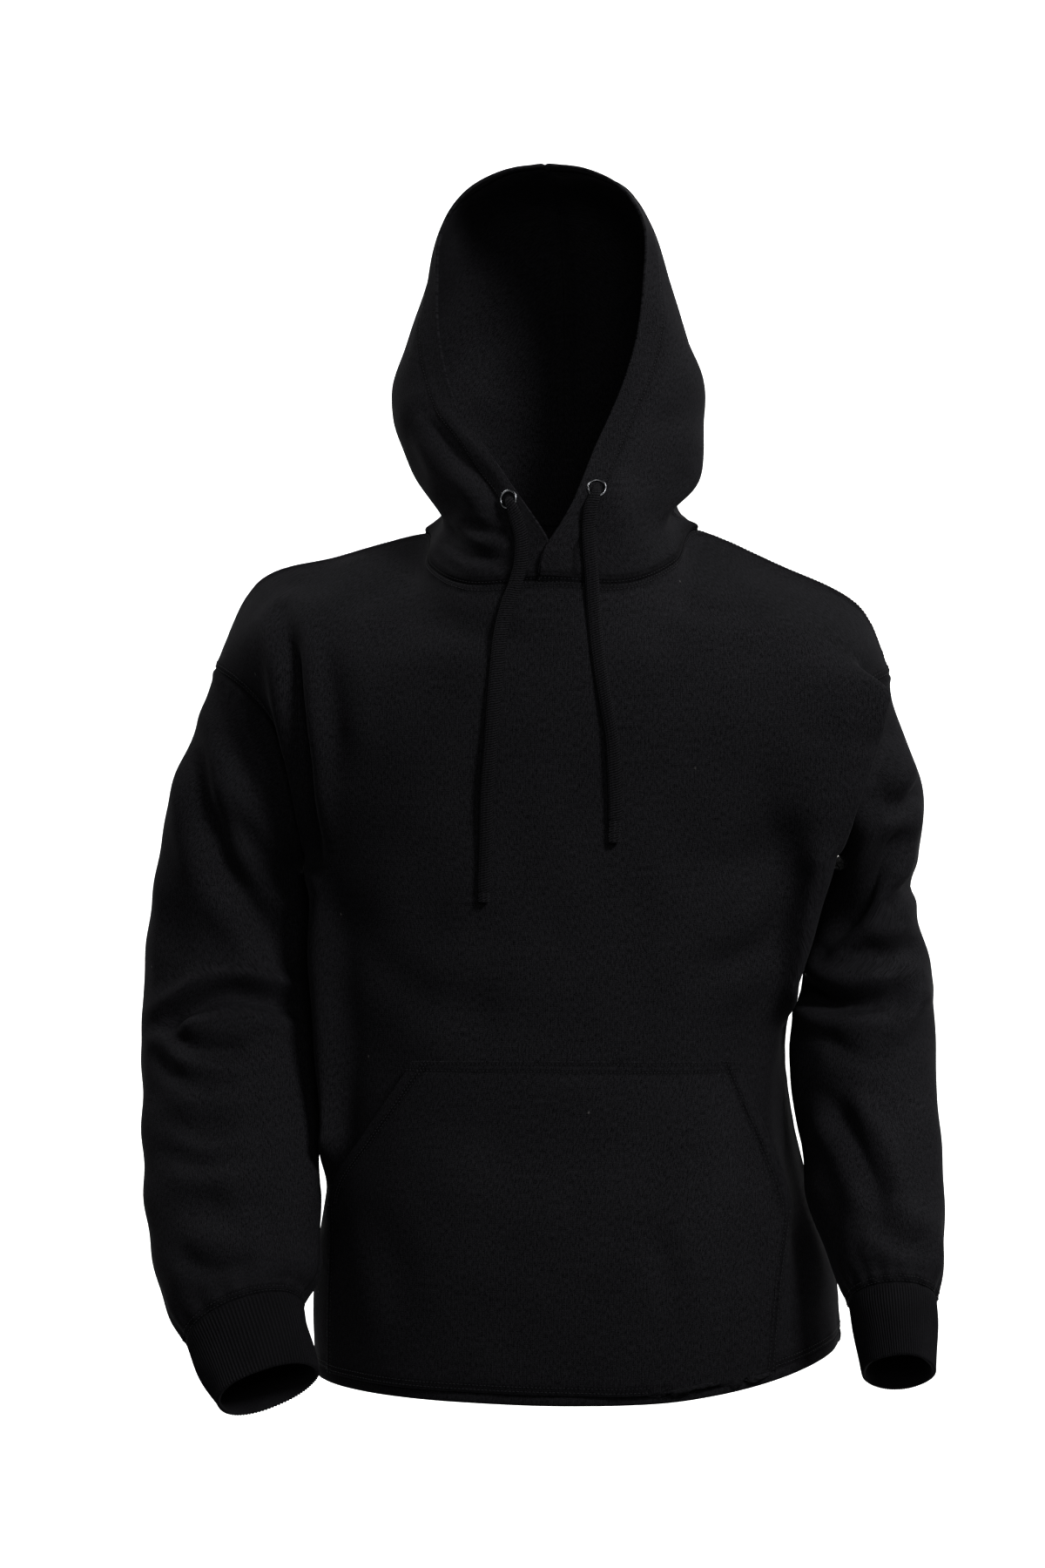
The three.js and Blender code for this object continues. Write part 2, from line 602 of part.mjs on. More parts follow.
// The plane of the cuff seam
function cuffFrame(rows, side) {
  const end = rows[rows.length - 1];
  const cuff = side === RIGHT ? RIGHT_CUFF : LEFT_CUFF;
  const middle = vec(end.x, end.y, end.z);
  const far = vec(cuff.x, cuff.y, cuff.z);
  const axis = far.clone().sub(middle).normalize();
  const out = vec(side, 0, 0).addScaledVector(axis, -side * axis.x).normalize();
  const ahead = vec(0, -1, 0).addScaledVector(axis, axis.y);
  ahead.addScaledVector(out, -ahead.dot(out)).normalize();
  return { end, cuff, middle, far, axis, out, ahead };
}

function flattenRing(rows, side, ring) {
  const { middle, axis } = cuffFrame(rows, side);
  ring.forEach((p) => {
    p.addScaledVector(axis, -p.clone().sub(middle).dot(axis));
  });
}

// A cuff: ribs stand on its outer face, and its inner face is plain
function buildCuff(side) {
  const rows = sleeveRows(side);
  const frame = cuffFrame(rows, side);
  const count = CUFF_RIBS * CUFF_FACETS_PER_RIB;
  const ring = (share, lift) => evenly(0, 2 * Math.PI, count).slice(0, count).map((turn, i) => {
    const rib = i % CUFF_FACETS_PER_RIB === 0 ? lift : 0;
    const wide = THREE.MathUtils.lerp(frame.end.across, frame.cuff.across, share);
    const deep = THREE.MathUtils.lerp(frame.end.deep, frame.cuff.deep, share);
    const middle = frame.middle.clone().lerp(frame.far, share);
    middle.addScaledVector(frame.axis, share === 0 ? SEAM_GAP : 0);
    return middle
      .addScaledVector(frame.out, (wide + rib) * Math.cos(turn))
      .addScaledVector(frame.ahead, (deep + rib) * Math.sin(turn));
  });
  const outer = [0, 1].map((share) => ring(share, CUFF_RIB_HEIGHT));
  const inner = [0, 1].map((share) => ring(share, 0).map((p, i) => {
    const middle = frame.middle.clone().lerp(frame.far, share);
    middle.addScaledVector(frame.axis, share === 0 ? SEAM_GAP : 0);
    const radial = p.clone().sub(middle);
    return middle.addScaledVector(radial, 1 - CUFF_WALL / radial.length());
  }));
  return wallGeometry(outer, inner, true, side === LEFT);
}

// The hem band under the panels: a ring with the same points as their lower edges
function buildHem() {
  const frontLine = frontPanel.grid[0].map((p, i) => ({ p, n: frontPanel.normals[0][i] }));
  const backLine = backPanel.grid[0].map((p, i) => ({ p, n: backPanel.normals[0][i] })).reverse();
  const loop = [...frontLine, ...backLine.slice(1, -1)];
  const step = SEAM_GAP / 2;
  const row = (down, outwards) => loop.map(({ p, n }) => p.clone().add(vec(0, 0, -down)).addScaledVector(n, outwards));
  const outer = [row(HEM_HEIGHT, -0.8), row(HEM_HEIGHT * 0.6, 0.6), row(step, 0)];
  const inner = [row(HEM_HEIGHT, 0.8 - HEM_WALL), row(HEM_HEIGHT * 0.6, -HEM_WALL), row(step, -BODY_WALL)];
  return wallGeometry(outer, inner, true, true);
}

function hoodLean(z) {
  return column(HOOD_LEAN, 'x', HOOD_LEAN.map((row) => row.z), z);
}

// One half of the hood. Columns run from the face opening round to the centre seam.
function buildHood(side) {
  const neckFront = frontPanel.columns.map((u, i) => ({ u, p: frontPanel.grid.at(-1)[i] }))
    .filter(({ u }) => u * side >= 0 && Math.abs(u) <= NECK_POINT);
  const neckBack = backPanel.columns.map((u, i) => ({ u, p: backPanel.grid.at(-1)[i] }))
    .filter(({ u }) => u * side >= 0 && Math.abs(u) < NECK_POINT);
  neckFront.sort((a, b) => Math.abs(a.u) - Math.abs(b.u));
  neckBack.sort((a, b) => Math.abs(b.u) - Math.abs(a.u));
  const neck = [...neckFront, ...neckBack].map(({ p }) => p);
  const strips = neck.length - 1;
  const shares = evenly(0, 1, strips);
  const guideShares = [0, 0.24, 0.5, 0.78, 1];
  const place = ([out, forward, up]) => vec(side * out, -forward, up);
  const sections = HOOD_SECTIONS.map((row) => shares.map((s) => splinePoint(guideShares, row.map(place), s)));
  const straight = neck.map((p) => vec(p.x - hoodLean(p.z), p.y, p.z));
  const net = [straight, ...sections];
  const stations = net.map((_, i) => i);
  const grid = evenly(0, net.length - 1, HOOD_ROWS).map((t) => shares.map((_, i) => {
    const p = splinePoint(stations, net.map((row) => row[i]), t);
    p.x = side * Math.max(side * p.x, 0);
    return p;
  }));
  grid.forEach((line) => line.forEach((p) => {
    p.x += hoodLean(p.z);
  }));
  grid[0].forEach((p, i) => p.copy(neck[i]));
  const last = strips;
  const top = grid.length - 1;
  const share = (j, i) => (j === 0 || j === top || i === 0 || i === last ? 0 : 1);
  pressFolds(grid, gridNormals(grid, side === RIGHT, false), HOOD_FOLDS[side], share);
  const normals = gridNormals(grid, side === RIGHT, false);
  const level = (n) => vec(0, n.y, n.z).normalize();
  normals.forEach((line) => {
    line[last] = level(line[last]);
  });
  normals[top] = normals[top].map(level);
  normals[0] = grid[0].map((p) => neckSeamNormal(p));
  [0, 1].forEach((j) => {
    normals[j][0] = level(normals[j][0]);
  });
  const outer = grid.map((line) => line.map((p) => p.clone()));
  const inner = offsetGrid(grid, normals, HOOD_WALL);
  easeEdge(outer[0], inner[0], grid[1], SEAM_GAP / 2);
  const centre = (p) => {
    const x = hoodLean(p.z) + (side * SEAM_GAP) / 2;
    p.x = side * Math.max(side * p.x, side * x);
  };
  [outer, inner].forEach((layer) => layer.forEach((line, j) => {
    centre(line[last]);
    if (j < 4) {
      line.forEach(centre);
    }
    if (j === top) {
      line.forEach(centre);
    }
  }));
  return { grid, normals, geometry: wallGeometry(outer, inner, false, side === LEFT) };
}

const hoods = { [RIGHT]: buildHood(RIGHT), [LEFT]: buildHood(LEFT) };

// A closed mesh as a solid for a boolean, and back
function solidOf(geometry) {
  const bare = geometry.clone();
  bare.deleteAttribute('normal');
  bare.deleteAttribute('uv');
  const merged = mergeVertices(bare, 1e-4);
  return new wasm.Manifold(new wasm.Mesh({
    numProp: 3,
    vertProperties: new Float32Array(merged.attributes.position.array),
    triVerts: new Uint32Array(merged.index.array),
  }));
}

function geometryOf(solid) {
  const mesh = solid.getMesh();
  const geometry = new THREE.BufferGeometry();
  geometry.setAttribute('position', new THREE.Float32BufferAttribute(mesh.vertProperties, 3));
  geometry.setIndex(Array.from(mesh.triVerts));
  geometry.computeVertexNormals();
  return geometry;
}

// Kangaroo pocket: the front panel's own points moved out, cut to the pocket's outline
function buildPocket() {
  const rows = POCKET_ROWS + 1;
  const outline = [
    [POCKET.topRight, POCKET.topZ],
    [POCKET.topLeft, POCKET.topZ],
    [POCKET.openingLeft, POCKET.openingZ],
    [POCKET.sideLeft, POCKET.bottomZ],
    [POCKET.sideRight, POCKET.bottomZ],
    [POCKET.openingRight, POCKET.openingZ],
  ];
  const middle = (POCKET.topLeft + POCKET.topRight) / 2;
  const standOff = (p) => {
    const down = THREE.MathUtils.clamp((POCKET.topZ - p.z) / (POCKET.topZ - POCKET.bottomZ), 0, 1);
    const sides = THREE.MathUtils.clamp((Math.abs(p.x - middle) / 175), 0, 1);
    const open = THREE.MathUtils.smoothstep(p.z, POCKET.openingZ - 40, POCKET.openingZ + 30);
    return POCKET.puff * Math.sin(Math.PI * down) * (1 - (1 - open) * sides ** 4);
  };
  const lift = (extra) => frontPanel.grid.slice(0, rows + 1).map((line, j) => line.map((p, i) => (
    p.clone().addScaledVector(frontPanel.normals[j][i], POCKET.seat + standOff(p) + extra))));
  const slab = wallGeometry(lift(POCKET.wall), lift(0), false, true);
  const shape = new THREE.Shape(outline.map(([x, z]) => new THREE.Vector2(x, z)));
  const prism = new THREE.ExtrudeGeometry(shape, { depth: 240, bevelEnabled: false });
  prism.rotateX(Math.PI / 2);
  return geometryOf(solidOf(slab).intersect(solidOf(prism)));
}

// Point and outward direction on the hood, between the points of its grid
function hoodSpot(side, { up, round }) {
  const { grid, normals } = hoods[side];
  const across = round * (grid[0].length - 1);
  const rise = (up / HOOD_SECTIONS.length) * HOOD_ROWS;
  const i = Math.floor(across);
  const j = Math.floor(rise);
  const mix = (layer) => layer[j][i].clone().lerp(layer[j][i + 1], across - i)
    .lerp(layer[j + 1][i].clone().lerp(layer[j + 1][i + 1], across - i), rise - j);
  return { point: mix(grid), outward: mix(normals).normalize() };
}

// An eyelet: a rounded metal ring set on the hood
function buildEyelet(side) {
  const { point, outward } = hoodSpot(side, EYELET_PLACE[side]);
  const half = EYELET.thick / 2;
  const middle = (EYELET.outer + EYELET.hole) / 2;
  const profile = evenly(0, 2 * Math.PI, 6).map((turn) => new THREE.Vector2(
    middle + ((EYELET.outer - EYELET.hole) / 2) * Math.cos(turn),
    half * Math.sin(turn),
  ));
  const geometry = new THREE.LatheGeometry(profile, 18);
  const mesh = meshOf(side === RIGHT ? 'eyelet_right' : 'eyelet_left', geometry, material(SATIN_METAL, 0.35, 1));
  mesh.quaternion.setFromUnitVectors(vec(0, 1, 0), outward);
  mesh.position.copy(point).addScaledVector(outward, half + EYELET_PLACE[side].lift);
  return mesh;
}

// A drawcord: a round tube along its route
function buildCord(side) {
  const path = new THREE.CatmullRomCurve3(CORD_ROUTES[side].map(([x, y, z]) => vec(x, y, z)));
  const section = new THREE.Shape(evenly(0, 2 * Math.PI, CORD_FACETS).slice(0, CORD_FACETS).map((turn) => (
    new THREE.Vector2((CORD_DIAMETER / 2) * Math.cos(turn), (CORD_DIAMETER / 2) * Math.sin(turn)))));
  const steps = Math.round(path.getLength() / CORD_STEP);
  const geometry = new THREE.ExtrudeGeometry(section, { steps, bevelEnabled: false, extrudePath: path });
  return meshOf(side === RIGHT ? 'drawcord_right' : 'drawcord_left', geometry, material(FABRIC, 0.9, 0));
}

const fleece = material(FABRIC, 0.95, 0);
const ribbing = material(FABRIC, 0.95, 0);

const hoodie = new THREE.Group();
hoodie.add(
  meshOf('front_panel', frontPanel.geometry, fleece),
  meshOf('back_panel', backPanel.geometry, fleece),
  meshOf('sleeve_right', buildSleeve(RIGHT), fleece),
  meshOf('sleeve_left', buildSleeve(LEFT), fleece),
  meshOf('cuff_right', buildCuff(RIGHT), ribbing),
  meshOf('cuff_left', buildCuff(LEFT), ribbing),
  meshOf('hood_right', hoods[RIGHT].geometry, fleece),
  meshOf('hood_left', hoods[LEFT].geometry, fleece),
  meshOf('hem_band', buildHem(), ribbing),
  meshOf('kangaroo_pocket', buildPocket(), fleece),
  buildEyelet(RIGHT),
  buildEyelet(LEFT),
  buildCord(RIGHT),
  buildCord(LEFT),
);

export default hoodie;
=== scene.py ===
"""A black fleece pullover hoodie in the form that it has when it is worn, with the hood up."""

import math

import bpy
import numpy as np
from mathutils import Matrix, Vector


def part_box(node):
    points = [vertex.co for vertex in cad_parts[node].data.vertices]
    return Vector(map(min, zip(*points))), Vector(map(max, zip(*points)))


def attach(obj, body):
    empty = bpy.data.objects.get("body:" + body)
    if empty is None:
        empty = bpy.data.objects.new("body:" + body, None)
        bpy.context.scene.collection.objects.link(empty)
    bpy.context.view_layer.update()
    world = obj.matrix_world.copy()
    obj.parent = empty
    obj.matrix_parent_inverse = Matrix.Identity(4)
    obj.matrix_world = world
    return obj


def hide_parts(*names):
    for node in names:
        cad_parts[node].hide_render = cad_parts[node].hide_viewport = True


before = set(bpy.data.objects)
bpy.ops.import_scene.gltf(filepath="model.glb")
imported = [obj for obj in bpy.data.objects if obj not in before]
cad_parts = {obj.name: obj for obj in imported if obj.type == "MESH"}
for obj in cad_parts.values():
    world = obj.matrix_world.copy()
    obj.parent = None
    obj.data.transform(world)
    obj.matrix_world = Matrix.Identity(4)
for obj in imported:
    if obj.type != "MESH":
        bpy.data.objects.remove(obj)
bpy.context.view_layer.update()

MM = 0.001
RIGHT, LEFT = -1, 1
SIDE_NAMES = {RIGHT: "right", LEFT: "left"}

# Form of the garment, in millimetres, as in the solids

GUIDES = np.array([0, 0.2, 0.38, 0.55, 0.7, 0.85, 1])
NECK_POINT = 0.55
NECK_SHARE = 6 / 11
NET_COLUMNS = np.concatenate([-GUIDES[:0:-1], GUIDES])

# height, middle, half width, side seam's depth, front, back, drift of the centre front, left lift
BODY_SECTIONS = np.array([
    [-661, 8, 208, 8, 156, 130, 0, 26],
    [-600, 5, 206, 16, 165, 122, 1, 14],
    [-535, 0, 193, 20, 166, 114, 3, 4],
    [-470, -4, 182, 18, 159, 110, 6, 0],
    [-405, -6, 179, 10, 148, 112, 7, 0],
    [-335, -1, 191, 6, 140, 116, 5, 0],
    [-265, -3, 200, 5, 137, 118, 2, 0],
], float)
BODY_SQUARENESS = 0.84
ARMPIT_Z, TOP_Z = -265, -40
UP_STATIONS = np.array([*BODY_SECTIONS[:, 0], -205, -150, -95, TOP_Z])

# The shoulder part of each panel: distance out, distance forward, height
FRONT_SHOULDER = np.array([
    [[0, 132, -216], [66, 129, -214], [116, 119, -212], [156, 105, -210], [182, 88, -210], [198, 66, -214]],
    [[0, 133, -158], [60, 130, -155], [108, 124, -152], [150, 114, -150], [182, 101, -150], [208, 82, -152]],
    [[2, 126, -106], [58, 120, -104], [98, 106, -96], [138, 86, -84], [190, 76, -82], [238, 60, -90]],
    [[0, 113, -52], [62, 99, -54], [98, 58, -36], [112, -2, -6], [180, -4, -23], [245, -4, -43]],
], float)
BACK_SHOULDER = np.array([
    [[0, -125, -204], [60, -124, -204], [110, -120, -205], [150, -110, -206], [180, -94, -208],
     [196, -72, -214]],
    [[0, -130, -134], [54, -129, -134], [98, -127, -136], [140, -121, -138], [176, -110, -142],
     [206, -90, -150]],
    [[0, -118, -60], [48, -117, -60], [88, -114, -62], [132, -106, -68], [184, -92, -76], [236, -66, -88]],
    [[0, -100, 8], [52, -92, 8], [92, -60, 4], [112, -2, -6], [180, -4, -23], [245, -4, -43]],
], float)
REACH = {RIGHT: 1.02, LEFT: 0.94}
LEFT_SHOULDER_DROP = [0, 0, 0, 0, 11, 23]

# Sections of each sleeve: middle, half size across and deep, and how much the outer edge is higher
SLEEVES = {
    RIGHT: np.array([
        [-247, 5, -190, 59, 66, 62],
        [-262, 9, -236, 60, 65, 30],
        [-271, 12, -290, 66, 62, 6],
        [-271, 10, -348, 73, 60, 0],
        [-264, -14, -416, 76, 60, 0],
        [-259, -46, -484, 72, 58, 0],
        [-251, -80, -548, 66, 54, 0],
        [-242, -105, -592, 59, 50, 0],
        [-231, -124, -619, 46, 36, 0],
    ], float),
    LEFT: np.array([
        [233, 5, -190, 42, 66, 60],
        [247, 12, -236, 35, 65, 33],
        [243, 20, -290, 30, 66, 6],
        [238, 22, -345, 47, 62, 0],
        [238, 2, -408, 52, 58, 0],
        [243, -34, -470, 50, 54, 0],
        [252, -76, -533, 47, 50, 0],
        [257, -100, -572, 42, 46, 0],
        [259, -114, -592, 32, 38, 0],
    ], float),
}
LAST_SECTION = 8
ARMHOLE_INSET = 20
ARMHOLE_RISE = 34

# Far end of each cuff: middle, half size across and deep
CUFFS = {
    RIGHT: np.array([-206, -160, -660, 40, 28], float),
    LEFT: np.array([264, -142, -638, 26, 36], float),
}

# One half of the hood, from the neck up: opening edge, cheek, side, behind the ear, centre seam
HOOD_SECTIONS = np.array([
    [[2, 114, -24], [58, 96, -16], [106, 26, 12], [80, -72, 34], [0, -104, 36]],
    [[21, 107, 10], [68, 86, 22], [117, 8, 46], [82, -82, 62], [0, -112, 64]],
    [[42, 84, 50], [88, 64, 60], [124, -2, 80], [86, -92, 92], [0, -122, 92]],
    [[62, 62, 86], [103, 42, 96], [124, -12, 112], [88, -98, 122], [0, -130, 120]],
    [[77, 42, 136], [103, 22, 140], [112, -24, 150], [84, -102, 158], [0, -134, 156]],
    [[82, 25, 186], [94, 4, 190], [97, -36, 196], [74, -98, 200], [0, -128, 198]],
    [[81, 10, 232], [84, -12, 236], [82, -48, 240], [60, -90, 240], [0, -114, 236]],
    [[63, 4, 263], [67, -18, 265], [62, -50, 266], [44, -86, 260], [0, -104, 250]],
    [[34, -2, 280], [36, -26, 282], [34, -54, 280], [24, -82, 271], [0, -98, 260]],
    [[0, -4, 285], [0, -28, 287], [0, -56, 285], [0, -82, 277], [0, -94, 268]],
], float)
HOOD_GUIDES = [0, 0.24, 0.5, 0.78, 1]
HOOD_LEAN = np.array([[-60, 3], [0, 1], [28, -4], [55, -10], [85, -16], [300, -18]], float)
CASING = 21.5
HOOD_PINCH = {RIGHT: 11, LEFT: 19}

HEM_HEIGHT = 9

# The pocket's side edges from the front: height, wearer's right and left
POCKET_SIDES = np.array([
    [-668, -174, 168],
    [-600, -173.5, 171],
    [-535, -171, 173],
    [-512, -162, 168],
    [-480, -141, 158.5],
    [-450, -121.5, 149.5],
    [-417, -100, 140],
], float)
POCKET_TOP = -417
POCKET_BOTTOM = -661
POCKET_OPENING = -530
POCKET_PUFF = 7

# Folds: route as seen from the front (across, up), face, depth, half width and the ridge above it
SLEEVE_FOLDS = {
    RIGHT: [
        ("front", 9, 10.5, 4, [[-275, -122], [-260, -162], [-244, -200], [-214, -238]]),
        ("front", 9, 11.5, 4, [[-291, -172], [-280, -222], [-266, -268], [-243, -303], [-206, -356]]),
        ("front", 4, 8, 2.5, [[-262, -200], [-248, -240], [-226, -282], [-206, -306]]),
        ("front", 10, 7, 5, [[-322, -398], [-300, -388], [-263, -372], [-236, -375], [-193, -387]]),
        ("front", 6, 7, 4, [[-308, -398], [-287, -411], [-262, -415], [-236, -411]]),
        ("front", -4, 9, 0, [[-286, -362], [-240, -360], [-196, -374]]),
        ("front", 3, 6.5, 1.5, [[-318, -420], [-290, -436], [-256, -438]]),
        ("front", 3.5, 9, 1.5, [[-266, -524], [-240, -532], [-214, -529]]),
        ("front", 2.5, 7, 1.5, [[-300, -468], [-270, -474], [-236, -466]]),
        ("front", 2.5, 7, 1.5, [[-298, -492], [-262, -500], [-222, -492]]),
        ("front", 3, 8, 1.5, [[-284, -560], [-252, -574], [-214, -570]]),
        ("back", 7, 13, 4, [[-300, -180], [-285, -240], [-255, -300]]),
        ("back", 7, 10.5, 4, [[-322, -330], [-270, -350], [-215, -345]]),
        ("back", 6, 8.5, 4, [[-330, -372], [-280, -386], [-226, -372]]),
        ("back", 5, 11, 2.5, [[-316, -470], [-265, -492], [-220, -480]]),
        ("back", 4, 9, 2.5, [[-300, -530], [-262, -548], [-226, -540]]),
    ],
    LEFT: [
        ("front", 8, 9, 4, [[262, -152], [251, -184], [240, -212]]),
        ("front", 9, 8.5, 5, [[284, -210], [266, -221], [246, -222]]),
        ("front", 11, 8, 5, [[272, -234], [255, -264], [238, -290], [222, -312], [202, -333]]),
        ("any", 5, 7, 2.5, [[274, -282], [262, -292], [252, -306]]),
        ("front", 5, 8, 2.5, [[284, -332], [256, -338], [230, -337]]),
        ("front", 13, 8, 6.5, [[180, -365], [206, -374], [232, -375], [260, -373]]),
        ("front", -6, 8, 0, [[284, -364], [272, -380], [262, -396], [257, -410]]),
        ("front", 7, 8.5, 4, [[207, -446], [228, -471], [240, -492], [254, -524]]),
        ("front", 4, 8, 2.5, [[243, -530], [262, -540], [282, -550]]),
        ("front", 3, 6.5, 1.5, [[206, -400], [226, -412], [246, -416]]),
        ("back", 7, 11.5, 4, [[280, -190], [262, -240], [236, -290]]),
        ("back", 6, 10.5, 4, [[284, -340], [250, -352], [204, -342]]),
        ("back", 6, 10.5, 4, [[282, -400], [245, -415], [203, -405]]),
        ("back", 4, 9, 2.5, [[290, -480], [256, -496], [222, -486]]),
    ],
}
FRONT_FOLDS = [
    ("front", 12, 7.5, 6, [[-216, -76], [-203, -106], [-196, -153], [-192, -208], [-190, -266]]),
    ("front", 4, 12, 2, [[-176, -96], [-168, -140], [-164, -190]]),
    ("front", 7, 9, 3, [[186, -392], [178, -430], [180, -470], [190, -512], [190, -590]]),
    ("front", 4, 18, 1, [[-150, -330], [-90, -368], [-20, -384]]),
    ("front", 3, 20, 1, [[-186, -300], [-130, -318], [-60, -316]]),
    ("front", 4, 11, 2, [[188, -300], [160, -330], [120, -348]]),
    ("front", 3, 14, 1, [[196, -238], [160, -262], [112, -270]]),
    ("front", 3, 12, 1, [[-100, -76], [-60, -92], [-10, -98]]),
    ("front", 3, 9, 1, [[90, -60], [124, -76], [166, -74]]),
]
BACK_FOLDS = [
    ("back", 7, 20, 3, [[-185, -250], [-130, -300], [-60, -330]]),
    ("back", 7, 20, 3, [[180, -260], [130, -320], [70, -360]]),
    ("back", 8, 20, 3, [[-80, -640], [-88, -540], [-70, -440]]),
    ("back", 7, 20, 3, [[70, -640], [84, -530], [60, -450]]),
    ("back", 4, 13, 2, [[-160, -380], [-90, -412], [10, -404], [96, -420]]),
    ("back", 4, 12, 2, [[-96, -60], [-40, -88], [30, -86], [92, -58]]),
    ("back", 5, 13, 2, [[-196, -130], [-176, -190], [-150, -240]]),
    ("back", 5, 13, 2, [[192, -140], [172, -196], [146, -240]]),
]
# Edge of the front where it laps over a sleeve: height, distance out, distance forward
LAPS = {
    RIGHT: np.array([
        [-250, 0, 0], [-290, 199, 46], [-340, 196, 50], [-390, 191, 58], [-440, 187, 66], [-480, 184, 72],
        [-530, 0, 0],
    ], float),
    LEFT: np.array([
        [-92, 0, 0], [-121, 257, 52], [-148, 252, 66], [-171, 245, 76], [-194, 237, 80], [-223, 229, 80],
        [-256, 219, 78], [-293, 208, 74], [-326, 198, 70], [-360, 187, 70], [-400, 0, 0],
    ], float),
}
LAP_CREST = 0.93

# Inner side of each sleeve toward the body: height, depth, half width, distance
SLEEVE_TUCKS = {
    RIGHT: np.array([
        [-520, -70, 30, 0], [-545, -75, 30, 4], [-575, -80, 30, 6], [-605, -88, 30, 7], [-640, -96, 30, 5],
    ], float),
    LEFT: np.array([
        [-250, 25, 25, 1], [-268, 25, 25, 6.5], [-290, 25, 25, 10.5], [-310, 28, 25, 5.5],
        [-328, 28, 25, 1.5], [-350, 28, 25, 3.5], [-370, 28, 25, 5.5], [-385, 12, 30, 7.5],
        [-410, -5, 28, 9], [-450, -12, 28, 9], [-485, -30, 30, 7], [-515, -60, 32, 9],
        [-545, -70, 32, 6], [-585, -70, 30, 0],
    ], float),
}

HOOD_FOLDS = {
    RIGHT: [
        ("front", 7, 8, 3, [[-106, 82], [-79, 49], [-51, 25], [-37, -2]]),
        ("front", 4, 5, 2, [[-92, -6], [-78, -18], [-62, -31], [-36, -38]]),
        ("front", 3, 4, 1, [[-66, -7], [-49, -14], [-31, -17]]),
        ("back", 6, 15, 3, [[-84, 30], [-60, 60], [-20, 74]]),
        ("back", 4, 12, 2, [[-96, 120], [-60, 100], [-26, 108]]),
    ],
    LEFT: [
        ("front", 4, 11, 1, [[92, 90], [76, 52], [64, 10]]),
        ("front", 3, 8, 1, [[104, 40], [92, 14], [74, -10]]),
        ("back", 6, 15, 3, [[76, 36], [50, 66], [14, 78]]),
        ("back", 4, 12, 2, [[70, 118], [40, 100], [4, 110]]),
    ],
}

# Drawcord ends, as in the solids
CORD_ROUTES = {
    RIGHT: [
        [-29.7, -103.5, 9.3], [-29, -109.5, 6.5], [-25, -111.5, -3], [-20, -113, -20], [-20, -114, -38],
        [-24, -116, -56], [-29, -119, -70], [-34, -125, -94], [-36, -131, -120], [-38, -135, -150],
        [-41, -136, -189], [-43, -135, -215], [-44, -134, -249], [-45, -134, -276], [-45, -135, -296],
    ],
    LEFT: [
        [36.3, -101.5, 17], [36, -108, 12], [33, -111, 2], [31, -111, -14], [32, -112, -32],
        [34, -114, -52], [36, -119, -79], [40, -127, -109], [46, -133, -143], [51, -135, -169],
        [53, -135, -196], [54, -134, -223], [53, -134, -251],
    ],
}
CORD_TIPS = {RIGHT: 7, LEFT: 16}
EYELETS = {RIGHT: (1.92, 0.05), LEFT: (2.08, 0.075)}


# Surfaces

def unit(v):
    """Directions of unit length."""
    return v / np.maximum(np.linalg.norm(v, axis=-1, keepdims=True), 1e-9)


def smooth(low, high, value):
    """A ramp from 0 to 1 with soft ends."""
    t = np.clip((np.asarray(value, float) - low) / (high - low), 0, 1)
    return t * t * (3 - 2 * t)


def spline(stations, values, t):
    """A smooth curve through uneven stations."""
    stations = np.asarray(stations, float)
    values = np.asarray(values, float)
    t = np.atleast_1d(np.asarray(t, float))
    last = len(stations) - 1
    i = np.clip(np.searchsorted(stations, t, side="left") - 1, 0, last - 1)
    shape = (-1,) + (1,) * (values.ndim - 1)
    h = (stations[i + 1] - stations[i])
    s = ((t - stations[i]) / h).reshape(shape)
    h = h.reshape(shape)

    def slope(k):
        """Slope at a station, from its neighbours."""
        a = np.maximum(k - 1, 0)
        b = np.minimum(k + 1, last)
        return (values[b] - values[a]) / (stations[b] - stations[a]).reshape(shape)

    s2 = s * s
    s3 = s2 * s
    return ((2 * s3 - 3 * s2 + 1) * values[i] + (s3 - 2 * s2 + s) * h * slope(i)
            + (3 * s2 - 2 * s3) * values[i + 1] + (s3 - s2) * h * slope(i + 1))


def weights(stations, t):
    """How much each station counts at t."""
    return spline(stations, np.eye(len(stations)), t)


def sleeve_points(side, along, turn):
    """Points of a sleeve for pairs of a place along it and a turn round it."""
    rows = SLEEVES[side]
    stations = np.arange(len(rows))
    along, turn = np.broadcast_arrays(np.asarray(along, float), np.asarray(turn, float))
    shape = along.shape
    along, turn = along.ravel(), turn.ravel()

    def at(t):
        """The section at a place along the sleeve."""
        return spline(stations, rows, np.clip(t, 0, len(rows) - 1))

    here = at(along)
    axis = unit(at(along + 0.05)[:, :3] - at(along - 0.05)[:, :3])
    out = unit(np.array([side, 0, 0]) - side * axis[:, :1] * axis)
    ahead = unit(np.array([0, -1, 0]) + axis[:, 1:2] * axis + out[:, 1:2] * out)
    cos, sin = np.cos(turn)[:, None], np.sin(turn)[:, None]
    crown = np.maximum(0, 1 - along)[:, None] * sin ** 2
    points = (here[:, :3] + out * (here[:, 3:4] * cos - ARMHOLE_INSET * crown)
              + ahead * (here[:, 4:5] * sin) + axis * (-here[:, 5:6] * cos - ARMHOLE_RISE * crown))
    return points.reshape(shape + (3,))


def power(value, exponent):
    """Raise the size of a number and keep its sign."""
    return np.sign(value) * np.abs(value) ** exponent


